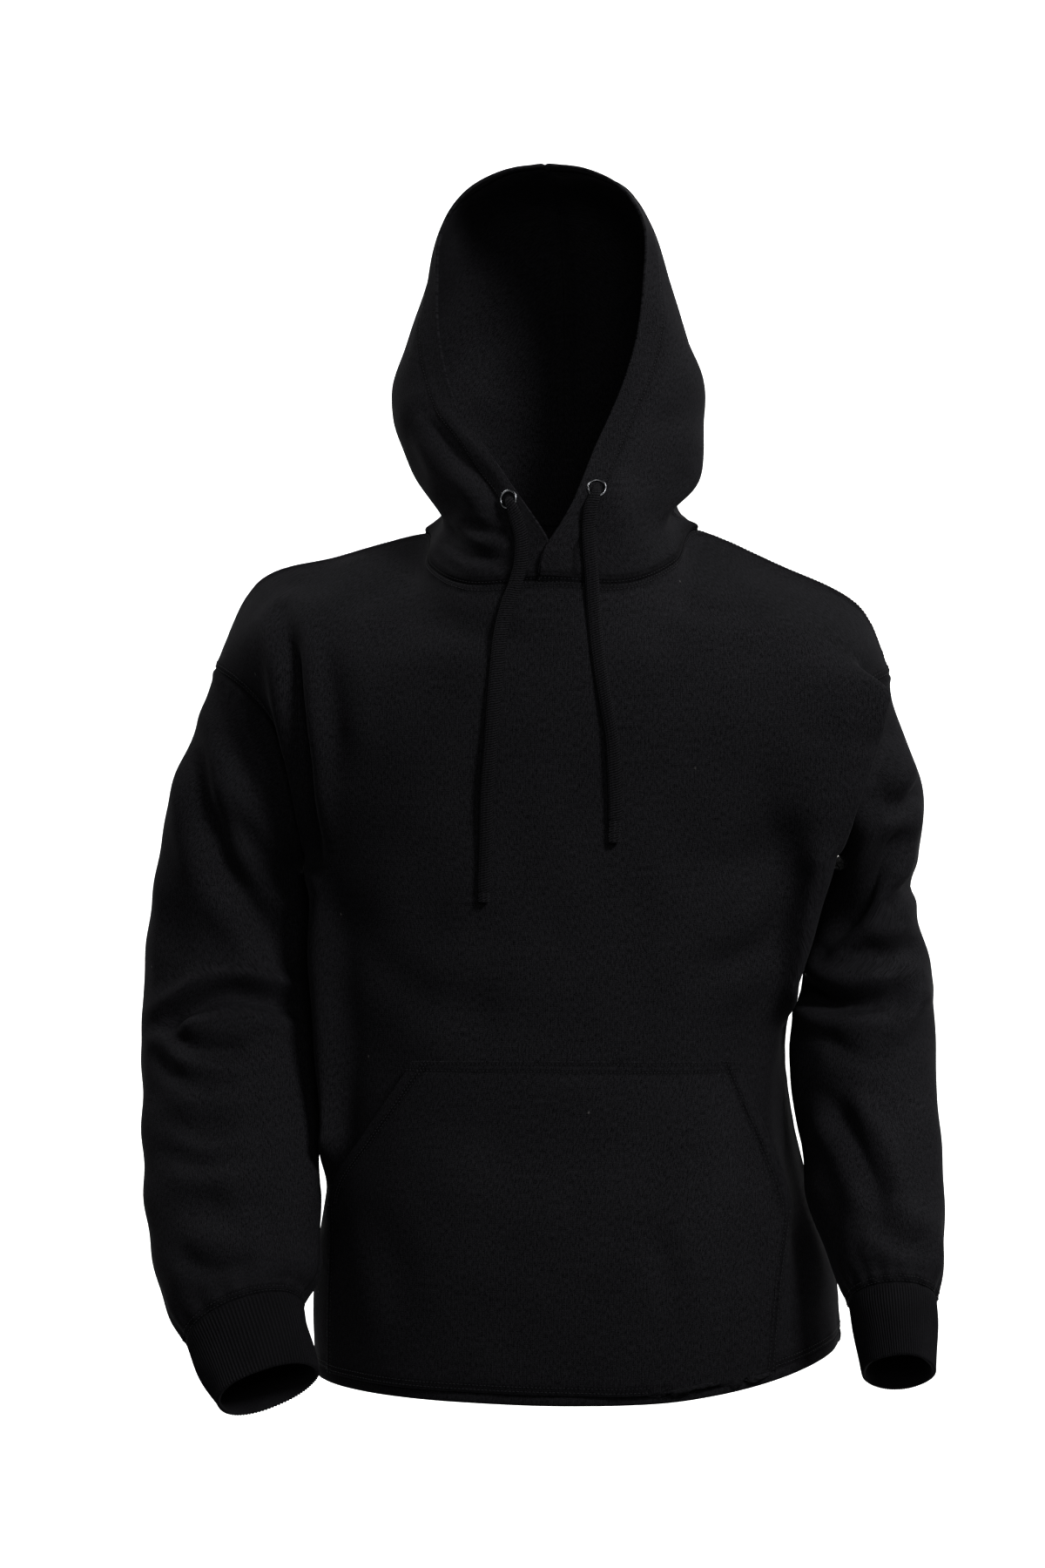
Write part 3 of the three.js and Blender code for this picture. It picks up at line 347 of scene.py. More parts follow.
def panel_net(is_front):
    """Control points of a panel: rows up the body, columns from the wearer's right to left."""
    net = np.zeros((len(UP_STATIONS), len(NET_COLUMNS), 3))
    for j, (z, mid, half, seam, front, back, drift, lift) in enumerate(BODY_SECTIONS):
        u = NET_COLUMNS
        turn = u * math.pi / 2
        turn = turn + (1 - u * u) * math.radians(drift) if is_front else math.pi - turn
        sin, cos = np.sin(turn), np.cos(turn)
        net[j, :, 0] = mid + half * power(sin, BODY_SQUARENESS)
        net[j, :, 1] = seam - np.where(cos > 0, front, back) * power(cos, BODY_SQUARENESS)
        net[j, :, 2] = z + np.where(sin > 0, lift * sin * sin, 0)
    table = FRONT_SHOULDER if is_front else BACK_SHOULDER
    for k, row in enumerate(table):
        turn = math.pi * (1 - (k + 1) / len(table)) * (1 if is_front else -1)
        for c, u in enumerate(NET_COLUMNS):
            side = RIGHT if u < 0 else LEFT
            guide = int(np.argmin(np.abs(GUIDES - abs(u))))
            if guide == len(GUIDES) - 1:
                net[len(BODY_SECTIONS) + k, c] = sleeve_points(side, 0, turn)
                continue
            out, forward, up = row[guide]
            drop = LEFT_SHOULDER_DROP[guide] * (k + 1) / len(table) if side == LEFT else 0
            net[len(BODY_SECTIONS) + k, c] = [side * out * REACH[side], -forward, up - drop]
    armpit = len(BODY_SECTIONS) - 1
    net[armpit, 0] = sleeve_points(RIGHT, 0, math.pi)
    net[armpit, -1] = sleeve_points(LEFT, 0, math.pi)
    return net


NETS = {"front": panel_net(True), "back": panel_net(False)}


def net_pairs(name, u, level):
    """Points of a panel's net for pairs of a column and a level."""
    columns = weights(NET_COLUMNS, u)
    rows = weights(UP_STATIONS, level)
    return np.einsum("nr,nc,rck->nk", rows, columns, NETS[name], optimize=True)


def armhole_turn(name, level):
    """Turn round the armhole at a height: from the top in front, back to front behind."""
    turn = math.pi * (1 - (np.asarray(level, float) - ARMPIT_Z) / (TOP_Z - ARMPIT_Z))
    return turn if name == "front" else -turn


def panel_points(name, u, level):
    """Points of a panel. Its edges follow the sleeve's ring and the seams that it shares."""
    u, level = np.broadcast_arrays(np.asarray(u, float), np.asarray(level, float))
    shape = u.shape
    u, level = u.ravel(), level.ravel()
    points = net_pairs(name, u, level)
    other = "back" if name == "front" else "front"
    edge = np.sign(u)
    ours = net_pairs(name, edge, level)
    seam = (ours + net_pairs(other, edge, level)) / 2
    for side in (RIGHT, LEFT):
        mask = (edge == side) & (level >= ARMPIT_Z)
        seam[mask] = sleeve_points(side, 0, armhole_turn(name, level[mask]))
    points += (seam - ours) * smooth(0.82, 1, np.abs(u))[:, None] * (edge != 0)[:, None]
    top = np.full_like(level, TOP_Z)
    ours = net_pairs(name, u, top)
    delta = (net_pairs(other, u, top) - ours) / 2
    near = smooth(TOP_Z - 22, TOP_Z, level) * smooth(NECK_POINT - 1e-6, NECK_POINT, np.abs(u))
    inside = 1 - smooth(0.82, 1, np.abs(u))
    points += delta * (near * inside)[:, None]
    return points.reshape(shape + (3,))


def grid_normals(grid, wraps, flip):
    """Outward direction at each point of a grid."""
    if wraps:
        du = np.roll(grid, -1, 1) - np.roll(grid, 1, 1)
    else:
        du = np.concatenate([grid[:, 1:], grid[:, -1:]], 1) - np.concatenate([grid[:, :1], grid[:, :-1]], 1)
    dv = np.concatenate([grid[1:], grid[-1:]]) - np.concatenate([grid[:1], grid[:-1]])
    return unit(np.cross(du, dv)) * (-1 if flip else 1)


def route_frame(route, x, z):
    """Distance to a route, signed up or out, and the share of the way along it."""
    route = np.array(route, float)
    stations = np.arange(len(route))
    fine = spline(stations, route, np.linspace(0, len(route) - 1, 4 * len(route)))
    best = np.full(x.shape, np.inf)
    signed = np.zeros(x.shape)
    share = np.zeros(x.shape)
    steps = np.linalg.norm(np.diff(fine, axis=0), axis=1)
    length = np.concatenate([[0], np.cumsum(steps)])
    for i in range(len(fine) - 1):
        a, d = fine[i], fine[i + 1] - fine[i]
        t = np.clip(((x - a[0]) * d[0] + (z - a[1]) * d[1]) / (d @ d), 0, 1)
        gap = np.hypot(x - a[0] - t * d[0], z - a[1] - t * d[1])
        side = np.sign(d[0] * (z - a[1]) - d[1] * (x - a[0]))
        closer = gap < best
        best = np.where(closer, gap, best)
        signed = np.where(closer, gap * side, signed)
        share = np.where(closer, (length[i] + t * steps[i]) / length[-1], share)
    return signed, share


def press_folds(grid, normals, folds, share):
    """Press folds into a grid, each a trough with a softer ridge beside it."""
    facing = {"front": -normals[..., 1], "back": normals[..., 1], "any": np.ones(grid.shape[:2])}
    push = np.zeros(grid.shape[:2])
    for face, depth, width, ridge, route in folds:
        signed, along = route_frame(route, grid[..., 0], grid[..., 2])
        ends = 0.35 + 0.65 * smooth(0, 0.22, along) * (1 - smooth(0.78, 1, along))
        near = depth * np.exp(-(signed / width) ** 2)
        near = near - ridge * np.exp(-((np.abs(signed) - 2.1 * width) / (1.1 * width)) ** 2)
        push += near * ends * smooth(0, 0.45, facing[face])
    return grid - normals * (push * share)[..., None]


def soft_waves(grid, normals, height, seed, share, shortest=55, longest=150):
    """Slack in the cloth: low waves in no particular order."""
    rng = np.random.default_rng(seed)
    total = np.zeros(grid.shape[:2])
    count = 26
    for _ in range(count):
        wave = unit(rng.normal(size=3)) * 2 * math.pi / rng.uniform(shortest, longest)
        total += np.sin(grid @ wave + rng.uniform(0, 2 * math.pi))
    return grid + normals * (total * height / math.sqrt(count) * share)[..., None]


def edge_gap(grid, edge):
    """Distance over the cloth from one edge of a grid."""
    axis = 0 if edge in ("low", "high") else 1
    steps = np.linalg.norm(np.diff(grid, axis=axis), axis=2)
    if edge in ("high", "last"):
        steps = np.flip(steps, axis)
    total = np.cumsum(steps, axis=axis)
    total = np.concatenate([np.zeros_like(np.take(total, [0], axis)), total], axis)
    return np.flip(total, axis) if edge in ("high", "last") else total


def seam_relief(grid, normals, gap, dip=1.1, ridge=0.55, seed=1):
    """A seam: a narrow valley, the ridge of the allowance under it, and small puckers."""
    rng = np.random.default_rng(seed)
    wobble = np.zeros(grid.shape[:2])
    for _ in range(8):
        wave = unit(rng.normal(size=3)) * 2 * math.pi / rng.uniform(9, 22)
        wobble += np.sin(grid @ wave + rng.uniform(0, 2 * math.pi)) / 8
    lift = ridge * np.exp(-((gap - 4.5) / 3.2) ** 2) - dip * np.exp(-(gap / 1.7) ** 2)
    lift = lift + 0.8 * wobble * np.exp(-((gap - 8) / 7) ** 2)
    return grid + normals * lift[..., None]


def inset(outer, edge, distance):
    """A line on a grid at one distance from an edge."""
    gap = edge_gap(outer, edge)
    if edge in ("low", "high"):
        gap, lines = gap.T, outer.transpose(1, 0, 2)
    else:
        lines = outer
    result = []
    for g, line in zip(gap, lines):
        order = np.argsort(g)
        result.append([np.interp(distance, g[order], line[order, k]) for k in range(3)])
    return np.array(result)


def graded(fine_start, fine_end, coarse, steps_start=8, steps_end=8):
    """Shares from 0 to 1, with short steps near the ends."""
    middle = np.linspace(fine_start, 1 - fine_end, coarse + 1)
    start = np.linspace(0, fine_start, steps_start + 1)[:-1] if fine_start else []
    end = np.linspace(1 - fine_end, 1, steps_end + 1)[1:] if fine_end else []
    return np.concatenate([start, middle, end])


# Meshes

def signed_volume(verts, faces):
    """Six times the volume in a closed mesh, negative if it is inside out."""
    a, b, c, d = (verts[faces[:, k]] for k in range(4))
    return (np.einsum("ij,ij->i", a, np.cross(b, c)) + np.einsum("ij,ij->i", a, np.cross(c, d))).sum()


def add_mesh(name, verts, faces, uvs, finish, lines=None):
    """A mesh object at the origin, from points in millimetres."""
    mesh = bpy.data.meshes.new(name)
    mesh.from_pydata((np.asarray(verts) * MM).tolist(), [], np.asarray(faces).tolist())
    layer = mesh.uv_layers.new(name="cloth")
    layer.data.foreach_set("uv", (np.asarray(uvs).reshape(-1, 2) * MM).ravel())
    # The 'line' attribute darkens the cloth: painted shade along seam grooves and rib channels
    if lines is not None:
        mark = mesh.attributes.new("line", "FLOAT", "POINT")
        mark.data.foreach_set("value", np.asarray(lines, np.float32))
    mesh.polygons.foreach_set("use_smooth", [True] * len(mesh.polygons))
    mesh.materials.append(finish)
    mesh.validate()
    mesh.update()
    piece = bpy.data.objects.new(name, mesh)
    bpy.context.scene.collection.objects.link(piece)
    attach(piece, "root")
    return piece


def cloth_distances(outer, wraps):
    """Distances over the cloth: along each row from its middle, and up each column."""
    closed = np.concatenate([outer, outer[:, :1]], 1) if wraps else outer
    steps = np.linalg.norm(np.diff(closed, axis=1), axis=2)
    across = np.concatenate([np.zeros((len(outer), 1)), np.cumsum(steps, axis=1)], 1)
    across = across - across[:, across.shape[1] // 2][:, None]
    rises = np.linalg.norm(np.diff(closed, axis=0), axis=2)
    up = np.concatenate([np.zeros((1, closed.shape[1])), np.cumsum(rises, axis=0)])
    return np.stack([across, up], -1)


def cloth_wall(name, outer, normals, wall, wraps, finish, uv=None, lines=None):
    """A closed wall of cloth with rounded edges, from its outer grid."""
    rows, cols = outer.shape[:2]
    inner = outer - normals * (wall if np.ndim(wall) == 0 else wall[..., None])
    if uv is None:
        uv = cloth_distances(outer, wraps)
    if wraps:
        loops = [[(0, i) for i in range(cols)], [(rows - 1, i) for i in range(cols - 1, -1, -1)]]
    else:
        loops = [[(0, i) for i in range(cols)] + [(j, cols - 1) for j in range(1, rows)]
                 + [(rows - 1, i) for i in range(cols - 2, -1, -1)]
                 + [(j, 0) for j in range(rows - 2, 0, -1)]]
    verts = [outer.reshape(-1, 3), inner.reshape(-1, 3)]
    strips = cols if wraps else cols - 1
    j, i = np.meshgrid(np.arange(rows - 1), np.arange(strips), indexing="ij")
    j, i = j.ravel(), i.ravel()
    corner = [(j, i), (j, i + 1), (j + 1, i + 1), (j + 1, i)]
    face = np.stack([a * cols + b % cols for a, b in corner], 1)
    face_uv = np.stack([uv[a, b] for a, b in corner], 1)
    faces = [face, face[:, ::-1] + rows * cols]
    face_uvs = [face_uv, face_uv[:, ::-1]]
    base = 2 * rows * cols
    for loop in loops:
        at = np.array(loop)
        near = np.clip(at, [1, 0 if wraps else 1], [rows - 2, cols - 1 if wraps else cols - 2])
        edge = outer[at[:, 0], at[:, 1]]
        under = inner[at[:, 0], at[:, 1]]
        away = unit(edge - outer[near[:, 0], near[:, 1]])
        thick = np.linalg.norm(edge - under, axis=1, keepdims=True)
        verts.append((edge + under) / 2 + away * thick * 0.32)
        flat = at[:, 0] * cols + at[:, 1]
        rim = base + np.arange(len(loop))
        nxt = np.roll(np.arange(len(loop)), -1)
        faces.append(np.stack([flat[nxt], flat, rim, rim[nxt]], 1))
        faces.append(np.stack([rim[nxt], rim, flat + rows * cols, flat[nxt] + rows * cols], 1))
        edge_uv = uv[at[:, 0], at[:, 1]]
        side_uv = np.stack([edge_uv[nxt], edge_uv, edge_uv, edge_uv[nxt]], 1)
        face_uvs += [side_uv, side_uv]
        base += len(loop)
    verts = np.concatenate(verts)
    faces = np.concatenate(faces)
    face_uvs = np.concatenate(face_uvs)
    if signed_volume(verts, faces) < 0:
        faces, face_uvs = faces[:, ::-1], face_uvs[:, ::-1]
    # Marks for the painted shade of seam grooves and rib channels, on the outer face only
    marks = np.zeros(len(verts))
    if lines is not None:
        marks[:rows * cols] = lines.ravel()
    return add_mesh(name, verts, faces, face_uvs, finish, marks)


def cloth_area(outer, wraps):
    """Area of a grid in square metres."""
    grid = np.concatenate([outer, outer[:, :1]], 1) if wraps else outer
    a = grid[1:, :-1] - grid[:-1, :-1]
    b = grid[:-1, 1:] - grid[:-1, :-1]
    c = grid[1:, :-1] - grid[1:, 1:]
    d = grid[:-1, 1:] - grid[1:, 1:]
    doubled = np.linalg.norm(np.cross(a, b), axis=2) + np.linalg.norm(np.cross(c, d), axis=2)
    return doubled.sum() / 2 * MM * MM


def seam_shade_marks(gap, *places, width=1.5):
    """How near each point is to the stitch rows that run at these distances from an edge, where the cloth
    gets painted shade of the seam groove.
    """
    return sum(np.exp(-((gap - place) / width) ** 2) for place in places)


# Node trees

class Wire:
    """A number in a shader tree, for use in Python expressions."""

    def __init__(self, graph, socket):
        self.graph = graph
        self.socket = socket

    def math(self, operation, *values):
        """A sum worked out in the shader."""
        node = self.graph.tree.nodes.new("ShaderNodeMath")
        node.operation = operation
        for slot, value in zip(node.inputs, values):
            self.graph.plug(slot, value)
        return Wire(self.graph, node.outputs[0])

    def __add__(self, other):
        return self.math("ADD", self, other)

    def __sub__(self, other):
        return self.math("SUBTRACT", self, other)

    def __mul__(self, other):
        return self.math("MULTIPLY", self, other)

    def __truediv__(self, other):
        return self.math("DIVIDE", self, other)

    def __rsub__(self, other):
        return self.math("SUBTRACT", other, self)

    def __rtruediv__(self, other):
        return self.math("DIVIDE", other, self)

    __radd__ = __add__
    __rmul__ = __mul__

    def sin(self):
        """The sine of this number."""
        return self.math("SINE", self)

    def clamp(self):
        """This number kept between 0 and 1."""
        return self.math("MINIMUM", self.math("MAXIMUM", self, 0.0), 1.0)

    def above(self, value):
        """1 where this number is above a value, and 0 elsewhere."""
        return self.math("GREATER_THAN", self, value)


class Graph:
    """A material's node tree."""

    def __init__(self, name):
        self.material = bpy.data.materials.new(name)
        self.material.use_nodes = True
        self.tree = self.material.node_tree
        self.shader = self.tree.nodes["Principled BSDF"]

    def plug(self, socket, value):
        """Link a socket, or set its value."""
        if isinstance(value, Wire):
            self.tree.links.new(value.socket, socket)
        else:
            socket.default_value = value

    def node(self, kind, settings=None, out=0, **sockets):
        """Any node: its settings first, then the values or links of its sockets."""
        node = self.tree.nodes.new(kind)
        for key, value in (settings or {}).items():
            setattr(node, key, value)
        for key, value in sockets.items():
            self.plug(node.inputs[key.replace("_", " ")], value)
        return Wire(self, node.outputs[out])

    def cloth_uv(self):
        """Distances over the cloth, in metres."""
        return self.node("ShaderNodeUVMap", {"uv_map": "cloth"})

    def scaled(self, vector, across, up, deep=1.0):
        """A vector stretched along each axis."""
        return self.node("ShaderNodeMapping", {"vector_type": "POINT"}, Vector=vector,
                         Scale=(across, up, deep))

    def noise(self, vector, scale=1.0, detail=2.0, roughness=0.5):
        """A soft random value."""
        return self.node("ShaderNodeTexNoise", {"noise_dimensions": "3D"}, Vector=vector, Scale=scale,
                         Detail=detail, Roughness=roughness)

    def blend(self, share, low, high):
        """A colour between two others."""
        node = self.tree.nodes.new("ShaderNodeMix")
        node.data_type = "RGBA"
        self.plug(node.inputs["Factor"], share)
        for slot, value in ((node.inputs[6], low), (node.inputs[7], high)):
            self.plug(slot, value)
        return Wire(self, node.outputs[2])

    def tinted(self, tone, color, most=3.0):
        """A colour made lighter and darker by a tone whose mean is 1."""
        return self.blend((tone * (1 / most)).clamp(), rgb(color, 0.0), rgb(color, most))

    def finish(self, color, rough, height=None, strength=0.5, distance=0.0004, **constants):
        """Link the finish to the shader, and set what is the same all over."""
        self.plug(self.shader.inputs["Base Color"], color)
        self.plug(self.shader.inputs["Roughness"], rough)
        for key, value in constants.items():
            self.shader.inputs[key.replace("_", " ")].default_value = value
        if height is not None:
            bump = self.node("ShaderNodeBump", None, Strength=strength, Distance=distance, Height=height)
            self.plug(self.shader.inputs["Normal"], bump)
        return self.material


def rgb(color, gain=1.0):
    """A colour of four numbers, made brighter by the gain."""
    return (color[0] * gain, color[1] * gain, color[2] * gain, 1.0)


def fleece_material(name, color, wale, sheen):
    """Brushed jersey: fine wales along the piece, a low pile, flecks, and painted shade along the seam
    grooves by the stitch rows.
    """
    g = Graph(name)
    uv = g.cloth_uv()
    split = g.tree.nodes.new("ShaderNodeSeparateXYZ")
    g.plug(split.inputs[0], uv)
    across, up = Wire(g, split.outputs[0]), Wire(g, split.outputs[1])
    drift = g.noise(g.scaled(uv, 60, 60), detail=1.0) * 0.0012
    wales = ((across + drift) * (2 * math.pi / wale)).sin()
    loops = ((up + drift) * (2 * math.pi / (wale * 1.15))).sin()
    streak = g.noise(g.scaled(uv, 700, 260), detail=1.0) - 0.5
    pile = g.noise(g.scaled(uv, 1500, 1250), detail=2.0, roughness=0.6) - 0.5
    patch = g.noise(g.scaled(uv, 26, 20), detail=3.0) - 0.5
    line = g.node("ShaderNodeAttribute", {"attribute_name": "line"}, out=2).clamp()
    tone = 1.0 + pile * 4.2 + streak * 2.0 + wales * 0.2 + loops * 0.08 + patch * 0.4
    # Painted shade: the cloth darkens by up to half along the stitch rows' seam grooves
    base = g.tinted(tone * (1 - line * 0.5), color)
    lint = g.node("ShaderNodeTexVoronoi", {"feature": "F1"}, Vector=g.scaled(uv, 62, 44), Scale=1.0,
                  Randomness=1.0)
    chosen = g.noise(g.scaled(uv, 31, 27), detail=0.0)
    speck = (1 - lint * 16.0).clamp() * chosen.above(0.665)
    base = g.blend(speck * 0.3, base, (0.2, 0.19, 0.18, 1))
    height = wales * 0.14 + loops * 0.05 + pile * 0.9 + streak * 0.4
    return g.finish(base, 0.9 + pile * 0.2, height, 0.32, 0.0004, Specular_IOR_Level=0.012,
                    Sheen_Weight=sheen, Sheen_Roughness=0.6, Sheen_Tint=(0.72, 0.74, 0.8, 1))


def ribbing_material(name, color, sheen):
    """Rib knit: rounder stitches, with painted shade in the channels between the ribs."""
    g = Graph(name)
    uv = g.cloth_uv()
    line = g.node("ShaderNodeAttribute", {"attribute_name": "line"}, out=2).clamp()
    pile = g.noise(g.scaled(uv, 1300, 900), detail=2.0, roughness=0.6) - 0.5
    patch = g.noise(g.scaled(uv, 40, 24), detail=2.0) - 0.5
    # Painted shade: the knit darkens in the channels between the ribs
    base = g.tinted((1.0 + pile * 2.4 + patch * 0.6) * (1 - line * 0.6), color)
    return g.finish(base, 0.9 + pile * 0.2, pile, 0.5, 0.0004, Specular_IOR_Level=0.012,
                    Sheen_Weight=sheen, Sheen_Roughness=0.6, Sheen_Tint=(0.72, 0.74, 0.8, 1))


def cord_material(name, color, sheen):
    """Knitted cord: small loops in rows along it."""
    g = Graph(name)
    uv = g.cloth_uv()
    split = g.tree.nodes.new("ShaderNodeSeparateXYZ")
    g.plug(split.inputs[0], uv)
    across, up = Wire(g, split.outputs[0]), Wire(g, split.outputs[1])
    loops = ((up + across * 0.6) * (2 * math.pi / 0.0019)).sin()
    pile = g.noise(g.scaled(uv, 1200, 1200), detail=2.0) - 0.5
    base = g.tinted(1.0 + loops * 0.7 + pile * 3.0, color)
    return g.finish(base, 0.88 + pile * 0.2, loops * 0.35 + pile * 0.6, 0.7, 0.0005, Specular_IOR_Level=0.02,
                    Sheen_Weight=sheen, Sheen_Roughness=0.6, Sheen_Tint=(0.75, 0.76, 0.8, 1))


def thread_material(name, color):
    """Sewing thread, with a slight gloss."""
    g = Graph(name)
    place = g.node("ShaderNodeTexCoord", None, out=3)
    grain = g.noise(g.scaled(place, 900, 900, 900), detail=1.0)
    base = g.blend(grain, rgb(color, 0.6), rgb(color, 1.5))
    return g.finish(base, 0.55 + grain * 0.2, grain, 0.3, 0.0001, Specular_IOR_Level=0.04)


def metal_material(name, color):
    """Satin nickel with fine rubbing marks."""
    g = Graph(name)
    place = g.node("ShaderNodeTexCoord", None, out=3)
    marks = g.noise(g.scaled(place, 700, 700, 700), detail=3.0)
    dull = g.noise(g.scaled(place, 160, 160, 160), detail=2.0)
    base = g.blend(dull, rgb(color, 0.7), rgb(color, 1.05))
    return g.finish(base, 0.16 + marks * 0.14 + dull * 0.08, marks, 0.08, 0.0001, Metallic=1.0)


def studio_material(name, color):
    """A plain matt backdrop."""
    g = Graph(name)
    place = g.node("ShaderNodeTexCoord", None, out=3)
    grain = g.noise(g.scaled(place, 3, 3, 3), detail=2.0)
    base = g.blend(grain, rgb(color, 0.995), rgb(color, 1.0))
    return g.finish(base, 0.9, Specular_IOR_Level=0.0, Emission_Color=(1, 1, 1, 1), Emission_Strength=0.45)


MATERIALS = {}


def material(kind):
    """The materials of the garment, each made once."""
    if kind not in MATERIALS:
        sizes = bpy.context.scene.hoodie_cloth
        sewing = bpy.context.scene.hoodie_sewing
        makers = {
            "fleece": lambda: fleece_material("brushed_fleece", sizes.color, sizes.wale, sizes.sheen),
            "ribbing": lambda: ribbing_material("rib_knit", sizes.rib_color, sizes.sheen),
            "cord": lambda: cord_material("knitted_cord", sizes.cord_color, sizes.sheen),
            "thread": lambda: thread_material("thread", sewing.color),
            "metal": lambda: metal_material("satin_nickel", sizes.eyelet_color),
            "studio": lambda: studio_material("backdrop_white", sizes.backdrop_color),
        }
        MATERIALS[kind] = makers[kind]()
    return MATERIALS[kind]


# Geometry Nodes

def new_tree(name, inputs):
    """A geometry tree with a geometry input and named number inputs."""
    tree = bpy.data.node_groups.new(name, "GeometryNodeTree")
    tree.interface.new_socket("Geometry", in_out="INPUT", socket_type="NodeSocketGeometry")
    tree.interface.new_socket("Geometry", in_out="OUTPUT", socket_type="NodeSocketGeometry")
    for label, kind, value in inputs:
        socket = tree.interface.new_socket(label, in_out="INPUT", socket_type=kind)
        if value is not None:
            socket.default_value = value
    return tree, tree.nodes.new("NodeGroupInput"), tree.nodes.new("NodeGroupOutput")


def grow(piece, tree, values):
    """Run a tree on an object and keep its result as a plain mesh."""
    modifier = piece.modifiers.new("grow", "NODES")
    modifier.node_group = tree
    for item in tree.interface.items_tree:
        if item.item_type == "SOCKET" and item.in_out == "INPUT" and item.name in values:
            modifier[item.identifier] = values[item.name]
    depsgraph = bpy.context.evaluated_depsgraph_get()
    depsgraph.update()
    mesh = bpy.data.meshes.new_from_object(piece.evaluated_get(depsgraph))
    piece.modifiers.remove(modifier)
    piece.data = mesh
    return piece


def stitch_tree():
    """Stitches along every line of a mesh, each a small rounded grain of thread."""
    tree, given, result = new_tree("stitch_rows", [
        ("Pitch", "NodeSocketFloat", 0.003),
        ("Length", "NodeSocketFloat", 0.0022),
        ("Thickness", "NodeSocketFloat", 0.0007),
        ("Thread", "NodeSocketMaterial", None),
    ])
    link = tree.links.new
    curve = tree.nodes.new("GeometryNodeMeshToCurve")
    even = tree.nodes.new("GeometryNodeResampleCurve")
    even.mode = "LENGTH"
    tangent = tree.nodes.new("GeometryNodeInputTangent")
    align = tree.nodes.new("FunctionNodeAlignRotationToVector")
    align.axis = "X"
    grain = tree.nodes.new("GeometryNodeMeshIcoSphere")
    grain.inputs["Radius"].default_value = 0.5
    grain.inputs["Subdivisions"].default_value = 1
    size = tree.nodes.new("ShaderNodeCombineXYZ")
    place = tree.nodes.new("GeometryNodeInstanceOnPoints")
    real = tree.nodes.new("GeometryNodeRealizeInstances")
    soft = tree.nodes.new("GeometryNodeSetShadeSmooth")
    coat = tree.nodes.new("GeometryNodeSetMaterial")
    link(given.outputs["Geometry"], curve.inputs["Mesh"])
    link(curve.outputs["Curve"], even.inputs["Curve"])
    link(given.outputs["Pitch"], even.inputs["Length"])
    link(tangent.outputs["Tangent"], align.inputs["Vector"])
    link(given.outputs["Length"], size.inputs["X"])
    link(given.outputs["Thickness"], size.inputs["Y"])
    link(given.outputs["Thickness"], size.inputs["Z"])
    link(even.outputs["Curve"], place.inputs["Points"])
    link(grain.outputs["Mesh"], place.inputs["Instance"])
    link(align.outputs["Rotation"], place.inputs["Rotation"])
    link(size.outputs["Vector"], place.inputs["Scale"])
    link(place.outputs["Instances"], real.inputs["Geometry"])
    link(real.outputs["Geometry"], soft.inputs["Geometry"])
    link(soft.outputs["Geometry"], coat.inputs["Geometry"])
    link(given.outputs["Thread"], coat.inputs["Material"])
    link(coat.outputs["Geometry"], result.inputs["Geometry"])
    return tree


def rib_tree():
    """Ribs round a cuff: its outer points rise and fall with their turn round it."""
    tree, given, result = new_tree("cuff_ribs", [
        ("Ribs", "NodeSocketFloat", 96.0),
        ("Height", "NodeSocketFloat", 0.0009),
        ("Knit", "NodeSocketMaterial", None),
    ])
    link = tree.links.new

    def reading(name):
        """A number stored on each point."""
        node = tree.nodes.new("GeometryNodeInputNamedAttribute")
        node.data_type = "FLOAT"
        node.inputs["Name"].default_value = name
        return node.outputs["Attribute"]

    def number(operation, *values):
        """A sum worked out in the tree."""
        node = tree.nodes.new("ShaderNodeMath")
        node.operation = operation
        for slot, value in zip(node.inputs, values):
            if isinstance(value, (int, float)):
                slot.default_value = value
            else:
                link(value, slot)
        return node.outputs[0]

    turn = number("MULTIPLY", reading("turn"), given.outputs["Ribs"])
    wave = number("MULTIPLY_ADD", number("COSINE", turn), 0.5, 0.5)
    rise = number("MULTIPLY", number("POWER", wave, 0.7), reading("ribbed"))
    rise = number("MULTIPLY", rise, given.outputs["Height"])
    normal = tree.nodes.new("GeometryNodeInputNormal")
    offset = tree.nodes.new("ShaderNodeVectorMath")
    offset.operation = "SCALE"
    move = tree.nodes.new("GeometryNodeSetPosition")
    real = tree.nodes.new("GeometryNodeRealizeInstances")
    coat = tree.nodes.new("GeometryNodeSetMaterial")
    link(normal.outputs["Normal"], offset.inputs["Vector"])
    link(rise, offset.inputs["Scale"])
    link(given.outputs["Geometry"], move.inputs["Geometry"])
    link(offset.outputs["Vector"], move.inputs["Offset"])
    link(move.outputs["Geometry"], real.inputs["Geometry"])
    link(real.outputs["Geometry"], coat.inputs["Geometry"])
    link(given.outputs["Knit"], coat.inputs["Material"])
    link(coat.outputs["Geometry"], result.inputs["Geometry"])
    return tree


TREES = {}


def tree_of(kind, maker):
    """A node tree, made once."""
    if kind not in TREES:
        TREES[kind] = maker()
    return TREES[kind]


def sew(name, lines, lift=0.12):
    """Stitch rows along lines, each given as points and outward directions."""
    sewing = bpy.context.scene.hoodie_sewing
    verts, edges = [], []
    for line, outward in lines:
        start = len(verts)
        verts += ((np.asarray(line) + np.asarray(outward) * lift) * MM).tolist()
        edges += [(k, k + 1) for k in range(start, len(verts) - 1)]
    mesh = bpy.data.meshes.new(name)
    mesh.from_pydata(verts, edges, [])
    piece = bpy.data.objects.new(name, mesh)
    bpy.context.scene.collection.objects.link(piece)
    grow(piece, tree_of("stitch", stitch_tree), {
        "Pitch": sewing.pitch, "Length": sewing.length, "Thickness": sewing.thickness,
        "Thread": material("thread"),
    })
    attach(piece, "root")
    return piece


# The cut pieces as grids

SHAPES = {}


def shape(kind, maker, *args):
    """A cut piece as a grid, worked out once."""
    key = (kind,) + args
    if key not in SHAPES:
        SHAPES[key] = maker(*args)
    return SHAPES[key]


